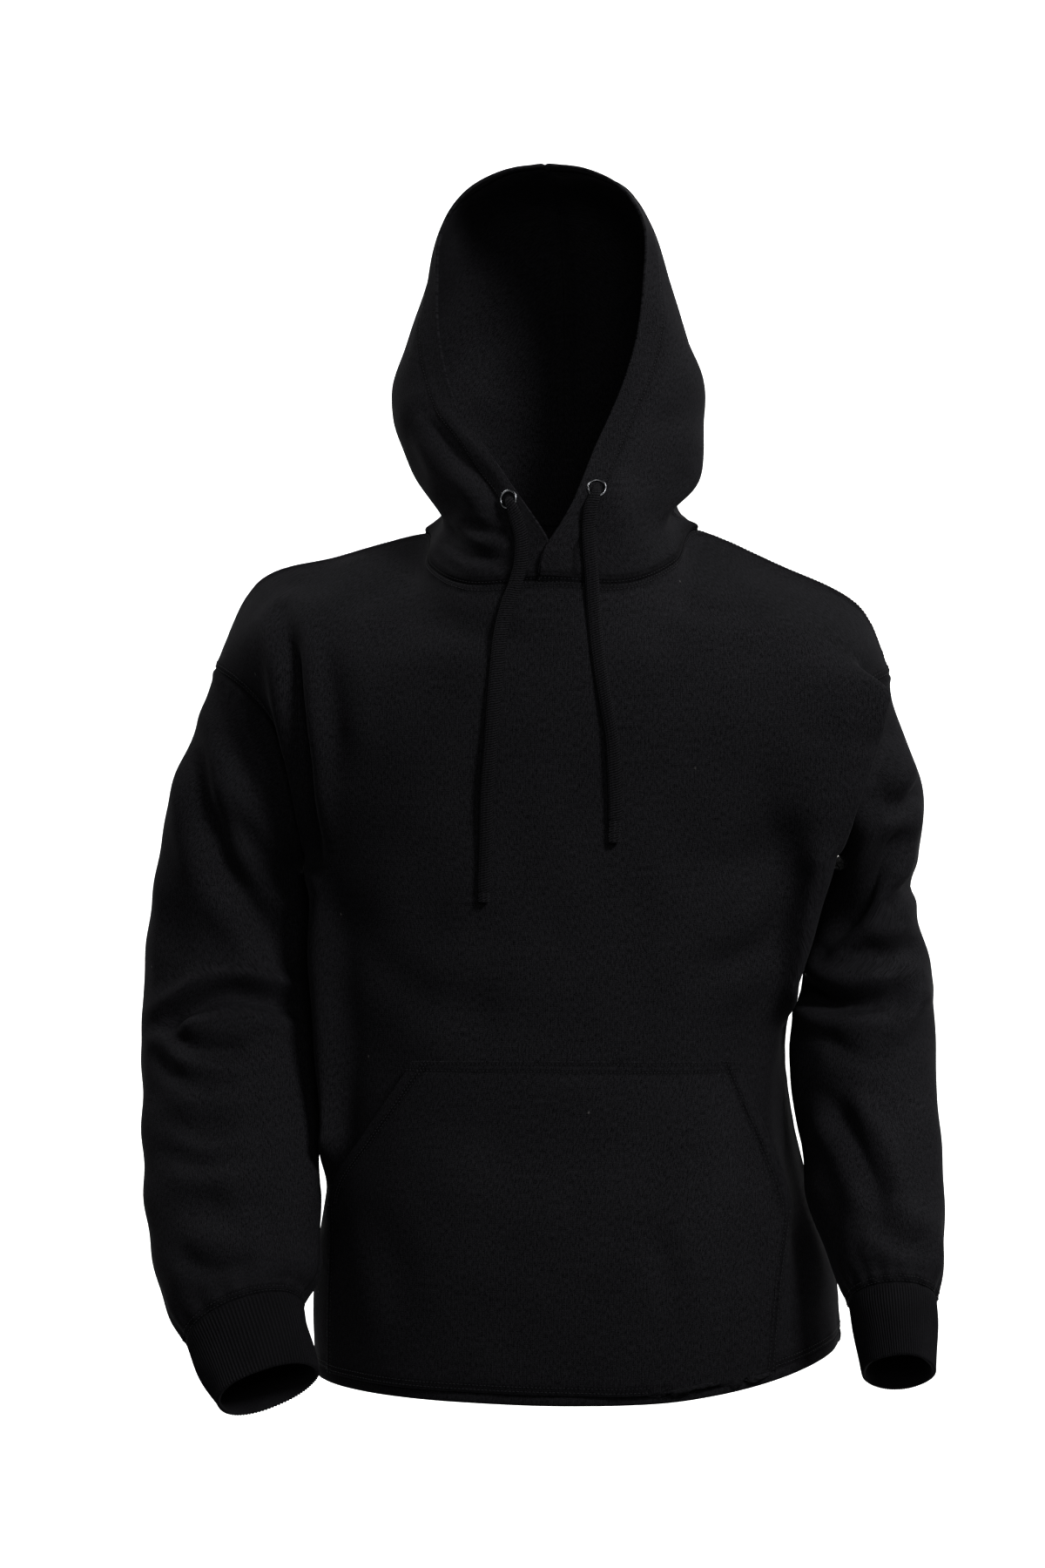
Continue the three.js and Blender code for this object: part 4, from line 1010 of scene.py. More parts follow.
def body_seam_normal(points, level):
    """Outward directions along a side seam."""
    level = np.minimum(level, ARMPIT_Z)
    mid = spline(BODY_SECTIONS[:, 0], BODY_SECTIONS[:, 1], level)
    seam = spline(BODY_SECTIONS[:, 0], BODY_SECTIONS[:, 3], level)
    return unit(np.stack([points[:, 0] - mid, points[:, 1] - seam, np.zeros(len(points))], 1))


def neck_seam_normal(points):
    """Outward directions along the neck seam."""
    flat = unit(points * [1, 1.1, 0])
    return unit(flat * 0.75 + [0, 0, 0.66])


def armhole_outward(side, turn):
    """The outward direction that the body and the sleeve share at the armhole."""
    rows = SLEEVES[side]
    middle = rows[0, :3]
    axis = unit(rows[1, :3] - middle)
    radial = sleeve_points(side, 0, turn) - middle
    radial = unit(radial - (radial @ axis)[:, None] * axis)
    low = ((1 - np.cos(turn)) / 2)[:, None]
    body_out = unit(radial * (1 - low) + np.array([side, 0, 0]) * low)
    return unit(radial + body_out)


def lap_front(grid, u, levels):
    """Bulge the front's edges outward and forward as far as the laps' crests."""
    for side, table in LAPS.items():
        low_level, high_level = np.sort(table[[0, -1], 0])
        heights = table[1:-1]
        crest = panel_points("front", side * LAP_CREST, levels)
        order = np.argsort(heights[:, 0])
        out = np.interp(levels, heights[order, 0], heights[order, 1])
        ahead = np.interp(levels, heights[order, 0], heights[order, 2])
        inner_low, inner_high = heights[order[0], 0], heights[order[-1], 0]
        share = smooth(low_level, inner_low, levels) * (1 - smooth(inner_high, high_level, levels))
        move = np.stack([side * np.maximum(out - side * crest[:, 0], 0),
                         -np.maximum(ahead + crest[:, 1], 0), np.zeros(len(levels))], 1) * share[:, None]
        near = smooth(0.6, LAP_CREST, side * u) * (1 - smooth(LAP_CREST, 1, side * u))
        grid = grid + move[:, None, :] * near[None, :, None]
    return grid


def panel_shape(name):
    """Outer grid of the front or back, its outward directions and its stitch-row marks for the painted seam
    shade.
    """
    is_front = name == "front"
    u = graded(0.016, 0.016, 138) * 2 - 1
    u[np.argmin(np.abs(u - NECK_POINT))] = NECK_POINT
    u[np.argmin(np.abs(u + NECK_POINT))] = -NECK_POINT
    levels = BODY_SECTIONS[0, 0] + graded(0.02, 0.02, 150) * (TOP_Z - BODY_SECTIONS[0, 0])
    grid = panel_points(name, u[None, :], levels[:, None])
    low, high = edge_gap(grid, "low"), edge_gap(grid, "high")
    first, last = edge_gap(grid, "first"), edge_gap(grid, "last")
    near = np.minimum(np.minimum(low, high), np.minimum(first, last))
    share = smooth(0, 26, near)
    folds = FRONT_FOLDS if is_front else BACK_FOLDS
    grid = press_folds(grid, grid_normals(grid, False, not is_front), folds, share)
    if is_front:
        grid = lap_front(grid, u, levels)
    grid = soft_waves(grid, grid_normals(grid, False, not is_front), 1.1, 11 if is_front else 12, share)
    normals = grid_normals(grid, False, not is_front)
    above = levels >= ARMPIT_Z
    for i, side in ((0, RIGHT), (-1, LEFT)):
        turn = armhole_turn(name, levels)
        seam_normal = body_seam_normal(grid[:, i], levels)
        normals[:, i] = np.where(above[:, None], armhole_outward(side, turn), seam_normal)
    tangent = unit(np.gradient(grid[-1], axis=0))
    shoulder = unit(np.array([0, 0, 1]) - tangent[:, 2:] * tangent)
    at_neck = (np.abs(u) < NECK_POINT)[:, None]
    inside = (np.abs(u) < 1)[:, None]
    normals[-1] = np.where(at_neck, neck_seam_normal(grid[-1]), np.where(inside, shoulder, normals[-1]))
    normals[0] = body_seam_normal(grid[0], np.full(len(u), levels[0]))
    seams = np.minimum(high, np.minimum(first, last))
    grid = seam_relief(grid, normals, seams, seed=21 if is_front else 22)
    grid = seam_relief(grid, normals, low, dip=0.35, ridge=0.3, seed=23)
    over = above[:, None] * np.ones(len(u))
    arm = np.where(over > 0, np.minimum(first, last), 99)
    # Painted seam shade: the fleece darkens along these stitch rows
    marks = seam_shade_marks(high, 0, 1.9, 5.4) + seam_shade_marks(low, 2, 5.4) + seam_shade_marks(arm, 0, 1.9, 5.4)
    marks = marks + seam_shade_marks(np.where(over > 0, 99, np.minimum(first, last)), 0)
    return {"grid": grid, "normals": normals, "marks": marks, "u": u, "levels": levels}


def tuck_sleeve(grid, side, normals, share):
    """Move the inner side of a sleeve toward the body, in a band of its depth."""
    table = SLEEVE_TUCKS[side][::-1]
    depth, half, amount = (np.interp(grid[..., 2], table[:, 0], table[:, k]) for k in (1, 2, 3))
    near = np.exp(-((grid[..., 1] - depth) / half) ** 2) * smooth(0, 0.5, -side * normals[..., 0])
    grid[..., 0] -= side * amount * near * share
    return grid


def sleeve_shape(side):
    """Outer grid of a sleeve, gathered into its cuff."""
    turns = np.linspace(0, 2 * math.pi, 144, endpoint=False)
    along = graded(0.018, 0.02, 140, 8, 9) * LAST_SECTION
    grid = sleeve_points(side, along[:, None], turns[None, :])
    fade = smooth(0, 0.86, np.minimum(along, LAST_SECTION - along))[:, None]
    flip = side == RIGHT
    grid = tuck_sleeve(grid, side, grid_normals(grid, True, flip), fade)
    grid = press_folds(grid, grid_normals(grid, True, flip), SLEEVE_FOLDS[side], fade)
    grid = soft_waves(grid, grid_normals(grid, True, flip), 1.2, 30 + side, fade, 40, 110)
    ends = cuff_frame(side)
    flat = (grid[-1] - ends["middle"]) @ ends["axis"]
    pull = smooth(LAST_SECTION - 0.7, LAST_SECTION, along)[:, None, None]
    grid = grid - pull * (flat[:, None] * ends["axis"])[None]
    to_cuff = LAST_SECTION - along[:, None]
    gathers = np.sin(turns * 17 + 0.8 * np.sin(3 * turns)) * np.exp(-(to_cuff / 0.55))
    gathers = gathers * smooth(0, 0.12, to_cuff)
    grid = grid + grid_normals(grid, True, flip) * gathers[..., None]
    normals = grid_normals(grid, True, flip)
    normals[0] = armhole_outward(side, turns)
    low, high = edge_gap(grid, "low"), edge_gap(grid, "high")
    grid = seam_relief(grid, normals, low, seed=41)
    grid = seam_relief(grid, normals, high, dip=0.9, seed=42)
    inseam = np.abs(turns - math.pi)[None, :] * 50
    valley = 0.8 * np.exp(-(inseam / 2.2) ** 2)
    grid = grid - normals * valley[..., None]
    # Painted seam shade: the fleece darkens along these stitch rows
    marks = seam_shade_marks(low, 0, 1.9) + seam_shade_marks(high, 0, 1.9, 5.4)
    marks = marks + seam_shade_marks(inseam * np.ones_like(low), 0)
    return {"grid": grid, "normals": normals, "marks": marks, "turns": turns}


def cuff_frame(side):
    """The plane of the cuff seam, and the way the cuff points."""
    end, cuff = SLEEVES[side][-1], CUFFS[side]
    middle, far = end[:3], cuff[:3]
    axis = unit(far - middle)
    out = unit(np.array([side, 0, 0]) - side * axis[0] * axis)
    ahead = np.array([0, -1, 0]) + axis[1] * axis
    ahead = unit(ahead - (ahead @ out) * out)
    return {"middle": middle, "far": far, "axis": axis, "out": out, "ahead": ahead,
            "start": end[3:5], "end": cuff[3:5]}


def hood_lean(z):
    """How far the hood leans to one side at a height."""
    return spline(HOOD_LEAN[:, 0], HOOD_LEAN[:, 1], np.ravel(z)).reshape(np.shape(z))


def neck_line(side, share):
    """The neck seam on one side, from the centre front to the centre back."""
    in_front = share <= NECK_SHARE
    u_front = side * NECK_POINT * np.minimum(share / NECK_SHARE, 1)
    u_back = side * NECK_POINT * np.minimum((1 - share) / (1 - NECK_SHARE), 1)
    front = panel_points("front", u_front, TOP_Z)
    back = panel_points("back", u_back, TOP_Z)
    return np.where(in_front[:, None], front, back)


def hood_shape(side):
    """Outer grid of one half of the hood, from its face opening round to the centre seam."""
    share = graded(0.085, 0.016, 82, 24, 6)
    guide = weights(HOOD_GUIDES, share)
    place = HOOD_SECTIONS * [side, -1, 1]
    sections = np.einsum("sg,rgk->rsk", guide, place)
    neck = neck_line(side, share)
    straight = neck - np.stack([hood_lean(neck[:, 2]), 0 * share, 0 * share], 1)
    net = np.concatenate([straight[None], sections])
    rows = graded(0.02, 0.012, 96, 7, 4) * (len(net) - 1)
    grid = np.einsum("tr,rsk->tsk", weights(np.arange(len(net)), rows), net)
    grid[..., 0] = side * np.maximum(side * grid[..., 0], 0)
    grid[..., 0] += hood_lean(grid[..., 2])
    grid[0] = neck
    pinch = np.exp(-((rows[:, None] - 0.72) / 0.5) ** 2) * smooth(0, 0.35, rows[:, None])
    pinch = pinch * np.exp(-((share[None, :] - 0.53) / 0.17) ** 2)
    grid[..., 0] -= side * HOOD_PINCH[side] * pinch
    low, high = edge_gap(grid, "low"), edge_gap(grid, "high")
    first, last = edge_gap(grid, "first"), edge_gap(grid, "last")
    closed = np.minimum(low, last)
    flip = side == RIGHT
    fade = smooth(0, 16, np.minimum(closed, high + 6)) * smooth(-4, 14, first)
    grid = press_folds(grid, grid_normals(grid, False, flip), HOOD_FOLDS[side], fade)
    grid = soft_waves(grid, grid_normals(grid, False, flip), 1.0, 50 + side, fade, 40, 110)
    normals = grid_normals(grid, False, flip)
    normals[:, -1] = unit(normals[:, -1] * [0, 1, 1])
    normals[-1] = unit(normals[-1] * [0, 1, 1])
    normals[0] = neck_seam_normal(grid[0])
    grid = seam_relief(grid, normals, closed, seed=61 + side)
    crown = np.where(rows[:, None] > 9.2, high, 99)
    grid = seam_relief(grid, normals, crown, seed=62 + side)
    casing = 1.1 * (1 - smooth(CASING - 1.5, CASING + 1.2, first))
    casing = casing - 0.7 * np.exp(-((first - CASING) / 1.3) ** 2)
    grid = grid + normals * (casing * smooth(0, 3, closed))[..., None]
    # The left front laps over the right one below the opening
    lower = 1 - smooth(0.2, 1.5, rows)[:, None]
    front = 1 - smooth(0, 0.16, share)[None, :]
    if side == LEFT:
        grid[..., 0] -= 8 * lower * front
        beside = 1 - smooth(0.03, 0.14, share)[None, :]
        grid[..., 1] -= 2.6 * (1 - smooth(0.5, 1.9, rows))[:, None] * beside
    else:
        grid[..., 0] += 2 * lower * front
        grid[..., 1] += 0.8 * lower * front
    # Painted seam shade: the fleece darkens along these stitch rows
    marks = seam_shade_marks(low, 0, 1.9, 5.4) + seam_shade_marks(last, 0, 3.2) + seam_shade_marks(first, CASING)
    return {"grid": grid, "normals": normals, "marks": marks, "rows": rows, "share": share}


def pocket_shape():
    """Outer grid of the pocket: points of the front moved out, inside the pocket's outline."""
    rows = graded(0.03, 0.07, 66, 6, 12)
    cols = graded(0.055, 0.055, 78, 12, 12)
    z = POCKET_BOTTOM + rows * (POCKET_TOP - POCKET_BOTTOM)
    right = spline(POCKET_SIDES[:, 0], POCKET_SIDES[:, 1], z)
    left = spline(POCKET_SIDES[:, 0], POCKET_SIDES[:, 2], z)
    x = right[:, None] + (left - right)[:, None] * cols[None, :]
    z = z[:, None] + 2.5 * (1 - (2 * cols[None, :] - 1) ** 2) * smooth(0.6, 1, rows)[:, None]
    target = np.stack([x.ravel(), (z * np.ones_like(x)).ravel()], 1)
    u = np.clip(target[:, 0] / 200, -0.95, 0.95)
    level = target[:, 1].copy()
    step_u, step_level = 0.002, 0.5
    for _ in range(9):
        here = panel_points("front", u, level)[:, [0, 2]]
        by_u = (panel_points("front", u + step_u, level)[:, [0, 2]] - here) / step_u
        by_level = (panel_points("front", u, level + step_level)[:, [0, 2]] - here) / step_level
        miss = target - here
        det = by_u[:, 0] * by_level[:, 1] - by_u[:, 1] * by_level[:, 0]
        du = (miss[:, 0] * by_level[:, 1] - miss[:, 1] * by_level[:, 0]) / det
        dl = (by_u[:, 0] * miss[:, 1] - by_u[:, 1] * miss[:, 0]) / det
        u = np.clip(u + np.clip(du, -0.1, 0.1), -0.985, 0.985)
        level = np.clip(level + np.clip(dl, -20, 20), -662, -380)
    grid = panel_points("front", u, level).reshape(x.shape + (3,))
    near = shape("panel", panel_shape, "front")
    normals = grid_normals(grid, False, False)
    share = smooth(0, 26, level.reshape(x.shape) - near["levels"][0])
    grid = press_folds(grid, normals, FRONT_FOLDS, share)
    down = np.clip((POCKET_TOP - grid[..., 2]) / (POCKET_TOP + 668), 0, 1)
    middle = 20
    sides = np.clip(np.abs(grid[..., 0] - middle) / 175, 0, 1)
    opened = smooth(POCKET_OPENING - 40, POCKET_OPENING + 30, grid[..., 2])
    stand = 2.7 + POCKET_PUFF * np.sin(math.pi * down) * (1 - (1 - opened) * sides ** 4)
    grid = grid + normals * stand[..., None]
    first, last = edge_gap(grid, "first"), edge_gap(grid, "last")
    low, high = edge_gap(grid, "low"), edge_gap(grid, "high")
    inside = smooth(0, 20, np.minimum(np.minimum(first, last), high))
    folds = [("front", 2.2, 9, 1, [[86, -539], [91, -560], [96, -584]]),
             ("front", 1.8, 16, 1, [[-150, -520], [-120, -560], [-110, -620]]),
             ("front", 2.0, 20, 1, [[-60, -470], [0, -486], [70, -474]])]
    grid = press_folds(grid, normals, folds, inside)
    grid = soft_waves(grid, normals, 0.9, 71, inside)
    side_gap = np.minimum(first, last)
    open_part = smooth(POCKET_OPENING - 6, POCKET_OPENING + 6, grid[..., 2])
    relief = -0.5 * np.exp(-((high - 7.6) / 1.2) ** 2) - 0.4 * np.exp(-((high - 1.8) / 1.0) ** 2)
    turned = 0.7 * (1 - smooth(10, 13, side_gap)) - 0.6 * np.exp(-((side_gap - 12) / 1.6) ** 2)
    relief = relief + open_part * turned
    relief = relief - (1 - open_part) * 0.45 * np.exp(-((side_gap - 5.6) / 1.2) ** 2)
    grid = grid + normals * relief[..., None]
    # Painted seam shade: the fleece darkens along these stitch rows
    marks = seam_shade_marks(high, 1.8, 7.6) + open_part * seam_shade_marks(side_gap, 10.6, 13.6)
    marks = marks + (1 - open_part) * seam_shade_marks(side_gap, 1.6, 5.6) + seam_shade_marks(low, 2, 5.4)
    return {"grid": grid, "normals": grid_normals(grid, False, False), "marks": marks, "opened": open_part}


# Operators

class HOODIE_OT_studio(bpy.types.Operator):
    """Set up the camera, the pale backdrop and the soft light"""
    bl_idname = "hoodie.studio"
    bl_label = "Studio"

    def execute(self, context):
        """Camera first, then the floor that runs up into a wall, then the lights."""
        sizes = context.scene.hoodie_studio
        scene = context.scene
        turn = math.radians(sizes.turn)
        ahead = np.array([-math.sin(turn), math.cos(turn), 0])
        across = np.array([math.cos(turn), math.sin(turn), 0])
        place = -ahead * sizes.distance + across * sizes.shift_across + [0, 0, sizes.height]
        camera = bpy.data.cameras.new("camera")
        camera.sensor_fit = "VERTICAL"
        camera.sensor_height = 36
        camera.lens = camera.sensor_height / 2 / math.tan(math.radians(sizes.view_angle) / 2)
        camera.clip_end = 50
        holder = bpy.data.objects.new("camera", camera)
        holder.location = place
        holder.rotation_euler = (math.pi / 2, 0, turn)
        scene.collection.objects.link(holder)
        scene.camera = holder
        self.add_backdrop(scene, sizes)
        self.add_lights(scene, sizes)
        return {"FINISHED"}

    def add_backdrop(self, scene, sizes):
        """One sheet: floor, bend and wall."""
        bend, wall, reach = 0.8, 5.0, 6.0
        profile = [(-reach, 0.0), (sizes.wall - bend, 0.0)]
        for k in range(1, 13):
            angle = k / 12 * math.pi / 2
            profile.append((sizes.wall - bend + bend * math.sin(angle), bend - bend * math.cos(angle)))
        profile.append((sizes.wall, wall))
        verts, faces = [], []
        for y, z in profile:
            verts += [(-reach, y, z + sizes.floor), (reach, y, z + sizes.floor)]
        for k in range(len(profile) - 1):
            faces.append((2 * k, 2 * k + 1, 2 * k + 3, 2 * k + 2))
        mesh = bpy.data.meshes.new("backdrop")
        mesh.from_pydata(verts, [], faces)
        mesh.polygons.foreach_set("use_smooth", [True] * len(mesh.polygons))
        mesh.materials.append(material("studio"))
        sheet = bpy.data.objects.new("backdrop", mesh)
        # Black cloth shows its folds only where no pale floor lights it from below
        sheet.visible_diffuse = False
        scene.collection.objects.link(sheet)

    def add_lights(self, scene, sizes):
        """One strong key light, two weak lights in front, and one for each side of the wall."""
        world = bpy.data.worlds.new("studio")
        world.use_nodes = True
        world.node_tree.nodes["Background"].inputs["Color"].default_value = (1, 1, 1, 1)
        world.node_tree.nodes["Background"].inputs["Strength"].default_value = sizes.ambient
        scene.world = world
        # Name, place, aim, size, share of the power
        table = [
            ("key", (2.3, -2.5, 2.1), (0, 0, -0.2), 0.9, 1.0),
            ("fill", (-1.7, -2.5, 0.2), (0, 0, -0.3), 1.6, 0.012),
            ("front", (0.5, -2.4, 0.5), (0, 0, -0.1), 0.7, 0.075),
            ("wall_left", (1.9, 0.9, 1.9), (0.6, sizes.wall, -0.3), 1.2, 0.52),
            ("wall_right", (-1.9, 0.9, 1.9), (-0.6, sizes.wall, -0.3), 1.2, 0.52),
        ]
        for name, place, aim, size, share in table:
            lamp = bpy.data.lights.new(name, "AREA")
            lamp.shape = "SQUARE"
            lamp.size = size
            lamp.energy = sizes.power * share
            holder = bpy.data.objects.new(name, lamp)
            holder.location = place
            direction = np.array(aim) - np.array(place)
            flat = math.hypot(direction[0], direction[1])
            heading = math.atan2(direction[1], direction[0]) - math.pi / 2
            holder.rotation_euler = (math.atan2(flat, -direction[2]), 0, heading)
            scene.collection.objects.link(holder)


class HOODIE_OT_drawcords(bpy.types.Operator):
    """Make the two free ends of the drawcord, flat knitted cord with sewn tips"""
    bl_idname = "hoodie.drawcords"
    bl_label = "Drawcords"

    def execute(self, context):
        """Each end runs from inside its eyelet down to its tip."""
        sizes = context.scene.hoodie_cords
        for side in (RIGHT, LEFT):
            route = np.array(CORD_ROUTES[side], float)
            stations = np.concatenate([[0], np.cumsum(np.linalg.norm(np.diff(route, axis=0), axis=1))])
            steps = int(stations[-1] / 1.1)
            path = spline(stations, route, np.linspace(0, stations[-1], steps))
            length = np.linalg.norm(np.diff(path, axis=0), axis=1).sum()
            piece = self.tube(side, path, length, sizes)
            name = "drawcord_" + SIDE_NAMES[side]
            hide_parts(name)
            every = path[::6] if (steps - 1) % 6 == 0 else np.concatenate([path[::6], path[-1:]])
            tuple(path[0] * MM)
            [tuple(p * MM) for p in every]
        return {"FINISHED"}

    def tube(self, side, path, length, sizes):
        """A flat tube with ribs of loops along it, pinched in the eyelet and at its tip."""
        ribs, per_rib = 14, 4
        count = ribs * per_rib
        turn = np.linspace(0, 2 * math.pi, count, endpoint=False)
        along = np.linspace(0, length, len(path))
        tangent = unit(np.gradient(path, axis=0))
        across = unit(np.cross(tangent, [0, -1, 0]))
        twist = 0.22 * np.sin(along / 46 + side) + 0.1 * np.sin(along / 17)
        ahead = unit(np.cross(across, tangent))
        across, ahead = (across * np.cos(twist)[:, None] + ahead * np.sin(twist)[:, None],
                         ahead * np.cos(twist)[:, None] - across * np.sin(twist)[:, None])
        tip = CORD_TIPS[side]
        opened = smooth(3, 22, along)
        held = smooth(length - tip - 3, length - tip, along)
        half_wide = (sizes.width / 2 / MM) * (0.66 + 0.34 * opened) * (1 - 0.16 * held)
        half_thick = (sizes.thickness / 2 / MM) * (1.15 - 0.15 * opened) * (1 - 0.22 * held)
        half_wide = half_wide * (1 - 0.25 * smooth(length - 1.5, length, along))
        cos, sin = np.cos(turn), np.sin(turn)
        rib = 0.34 * np.abs(np.cos(turn * ribs / 2))[None, :] * (1 - 0.6 * held)[:, None]
        ring_x = half_wide[:, None] * power(cos, 0.8)[None, :] + rib * cos[None, :]
        ring_y = half_thick[:, None] * power(sin, 0.8)[None, :] + rib * sin[None, :]
        points = path[:, None] + across[:, None] * ring_x[..., None] + ahead[:, None] * ring_y[..., None]
        rows = len(path)
        verts = np.concatenate([points.reshape(-1, 3), path[:1], path[-1:]])
        faces, uvs = [], []
        around = 2 * (half_wide.mean() + half_thick.mean())
        for j in range(rows - 1):
            for i in range(count):
                k = (i + 1) % count
                faces.append((j * count + i, j * count + k, (j + 1) * count + k, (j + 1) * count + i))
                a, b = i / count * around, (i + 1) / count * around
                uvs.append([(a, along[j]), (b, along[j]), (b, along[j + 1]), (a, along[j + 1])])
        ends = rows * count
        caps, cap_uvs = [], []
        for i in range(0, count, 2):
            a, b, c = i, i + 1, (i + 2) % count
            caps.append((ends, c, b, a))
            caps.append((ends + 1, (rows - 1) * count + a, (rows - 1) * count + b, (rows - 1) * count + c))
            cap_uvs += [[(0, 0), (1, 0), (1, 1), (0, 1)]] * 2
        faces = np.array(faces + caps)
        uvs = np.array(uvs + cap_uvs)
        if signed_volume(verts, faces) < 0:
            faces, uvs = faces[:, ::-1], uvs[:, ::-1]
        SHAPES[("cord", side)] = {"path": path, "across": across, "ahead": ahead, "along": along,
                                  "length": length, "wide": half_wide, "thick": half_thick}
        return add_mesh("cord_" + SIDE_NAMES[side], verts, faces, uvs, material("cord"))


class HOODIE_OT_eyelets(bpy.types.Operator):
    """Make the metal eyelets with their rolled rims"""
    bl_idname = "hoodie.eyelets"
    bl_label = "Eyelets"

    def execute(self, context):
        """A rolled ring, turned round its own axis and set on the hood."""
        profile = np.array([[5.9, -1.8], [5.8, -0.4], [5.9, 0.2], [6.15, 0.6], [6.55, 0.8], [7.0, 0.68],
                            [7.35, 0.35], [7.55, -0.1], [7.5, -0.45], [7.1, -0.5], [6.8, -0.4], [6.6, -0.6],
                            [6.5, -1.8]])
        count = 56
        for side in (RIGHT, LEFT):
            node = "eyelet_" + SIDE_NAMES[side]
            low, high = (np.array(c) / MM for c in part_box(node))
            middle = (low + high) / 2
            hood = shape("hood", hood_shape, side)
            up, round_share = EYELETS[side]
            j = int(np.argmin(np.abs(hood["rows"] - up)))
            i = int(np.argmin(np.abs(hood["share"] - round_share)))
            outward = hood["normals"][j, i]
            base = hood["grid"][j, i]
            middle = middle + outward * (((base - middle) @ outward) + 0.75)
            across = unit(np.cross(outward, [0, 0, 1]))
            up_way = np.cross(across, outward)
            turn = np.linspace(0, 2 * math.pi, count, endpoint=False)
            ring = across * np.cos(turn)[:, None] + up_way * np.sin(turn)[:, None]
            verts = middle + ring[None] * profile[:, None, :1] + outward * profile[:, None, 1:]
            verts = verts.reshape(-1, 3)
            n = len(profile)
            faces = [[j * count + i, j * count + (i + 1) % count, ((j + 1) % n) * count + (i + 1) % count,
                      ((j + 1) % n) * count + i] for j in range(n) for i in range(count)]
            faces = np.array(faces)
            if signed_volume(verts, faces) < 0:
                faces = faces[:, ::-1]
            piece = add_mesh(node + "_ring", verts, faces, np.zeros((len(faces), 4, 2)),
                             material("metal"))
            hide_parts(node)
        return {"FINISHED"}


class HOODIE_OT_panels(bpy.types.Operator):
    """Make the front and the back"""
    bl_idname = "hoodie.panels"
    bl_label = "Front and back"

    def execute(self, context):
        """Two walls of fleece with their folds, joined at the side and shoulder seams."""
        wall = context.scene.hoodie_cloth.wall / MM
        for name in ("front", "back"):
            cut = shape("panel", panel_shape, name)
            piece = cloth_wall(name + "_panel_cloth", cut["grid"], cut["normals"], wall, False,
                               material("fleece"), lines=cut["marks"])
            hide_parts(name + "_panel")
            cloth_area(cut["grid"], False)
        return {"FINISHED"}


class HOODIE_OT_sleeves(bpy.types.Operator):
    """Make the two sleeves"""
    bl_idname = "hoodie.sleeves"
    bl_label = "Sleeves"

    def execute(self, context):
        """A wall of fleece round each arm."""
        wall = context.scene.hoodie_cloth.wall / MM
        for side in (RIGHT, LEFT):
            cut = shape("sleeve", sleeve_shape, side)
            node = "sleeve_" + SIDE_NAMES[side]
            piece = cloth_wall(node + "_cloth", cut["grid"], cut["normals"], wall, True,
                               material("fleece"), lines=cut["marks"])
            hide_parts(node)
            cloth_area(cut["grid"], True)
        return {"FINISHED"}


class HOODIE_OT_cuffs(bpy.types.Operator):
    """Make the ribbed cuffs"""
    bl_idname = "hoodie.cuffs"
    bl_label = "Cuffs"

    def execute(self, context):
        """A doubled tube whose outer face is raised in ribs."""
        sizes = context.scene.hoodie_cuffs
        for side in (RIGHT, LEFT):
            spot = cuff_frame(side)
            count = int(sizes.ribs) * 6
            turn = np.linspace(0, 2 * math.pi, count, endpoint=False)
            share = graded(0.06, 0.05, 14, 4, 4)[:, None]
            half = spot["start"] * (1 - share) + spot["end"] * share
            slack = 1 + 0.02 * np.sin(share * math.pi) + 0.012 * np.sin(3 * turn[None, :] + 5 * share)
            middle = spot["middle"] * (1 - share) + spot["far"] * share
            grid = (middle[:, None, :]
                    + spot["out"] * (half[:, 0:1] * np.cos(turn)[None] * slack)[..., None]
                    + spot["ahead"] * (half[:, 1:2] * np.sin(turn)[None] * slack)[..., None])
            waves = soft_waves(grid, unit(grid - middle[:, None, :]), 0.9, 80 + side,
                               smooth(0, 0.3, share), 30, 70)
            normals = unit(waves - middle[:, None, :])
            node = "cuff_" + SIDE_NAMES[side]
            # Painted shade in the channels between the ribs, carried on the line attribute
            rib_channel_shade = (0.5 - 0.5 * np.cos(turn * sizes.ribs))[None, :] * np.ones_like(share)
            piece = cloth_wall(node + "_knit", waves, normals, sizes.wall / MM, True,
                               material("ribbing"), lines=rib_channel_shade * 0.8)
            self.mark(piece, turn, share, normals.shape)
            grow(piece, tree_of("ribs", rib_tree), {
                "Ribs": float(sizes.ribs), "Height": sizes.height, "Knit": material("ribbing")})
            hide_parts(node)
            area = cloth_area(waves, True)
            SHAPES[("cuff", side)] = {"grid": waves, "normals": normals}
        return {"FINISHED"}

    def mark(self, piece, turn, share, size):
        """Store the turn round the cuff, and where its ribs are raised."""
        rows, cols = size[:2]
        turns = np.tile(turn, rows)
        ribbed = np.repeat(smooth(0, 0.07, share.ravel()), cols)
        total = len(piece.data.vertices)
        for name, values in (("turn", turns), ("ribbed", ribbed)):
            full = np.zeros(total, np.float32)
            full[:rows * cols] = values
            layer = piece.data.attributes.new(name, "FLOAT", "POINT")
            layer.data.foreach_set("value", full)


class HOODIE_OT_hood(bpy.types.Operator):
    """Make the two halves of the hood"""
    bl_idname = "hoodie.hood"
    bl_label = "Hood"

    def execute(self, context):
        """Two walls of fleece that meet at the centre seam, the left lapped over the right in front."""
        wall = context.scene.hoodie_cloth.hood_wall / MM
        for side in (RIGHT, LEFT):
            cut = shape("hood", hood_shape, side)
            node = "hood_" + SIDE_NAMES[side]
            piece = cloth_wall(node + "_cloth", cut["grid"], cut["normals"], wall, False,
                               material("fleece"), lines=cut["marks"])
            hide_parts(node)
            min(cloth_area(cut["grid"], False), 0.12)
        return {"FINISHED"}


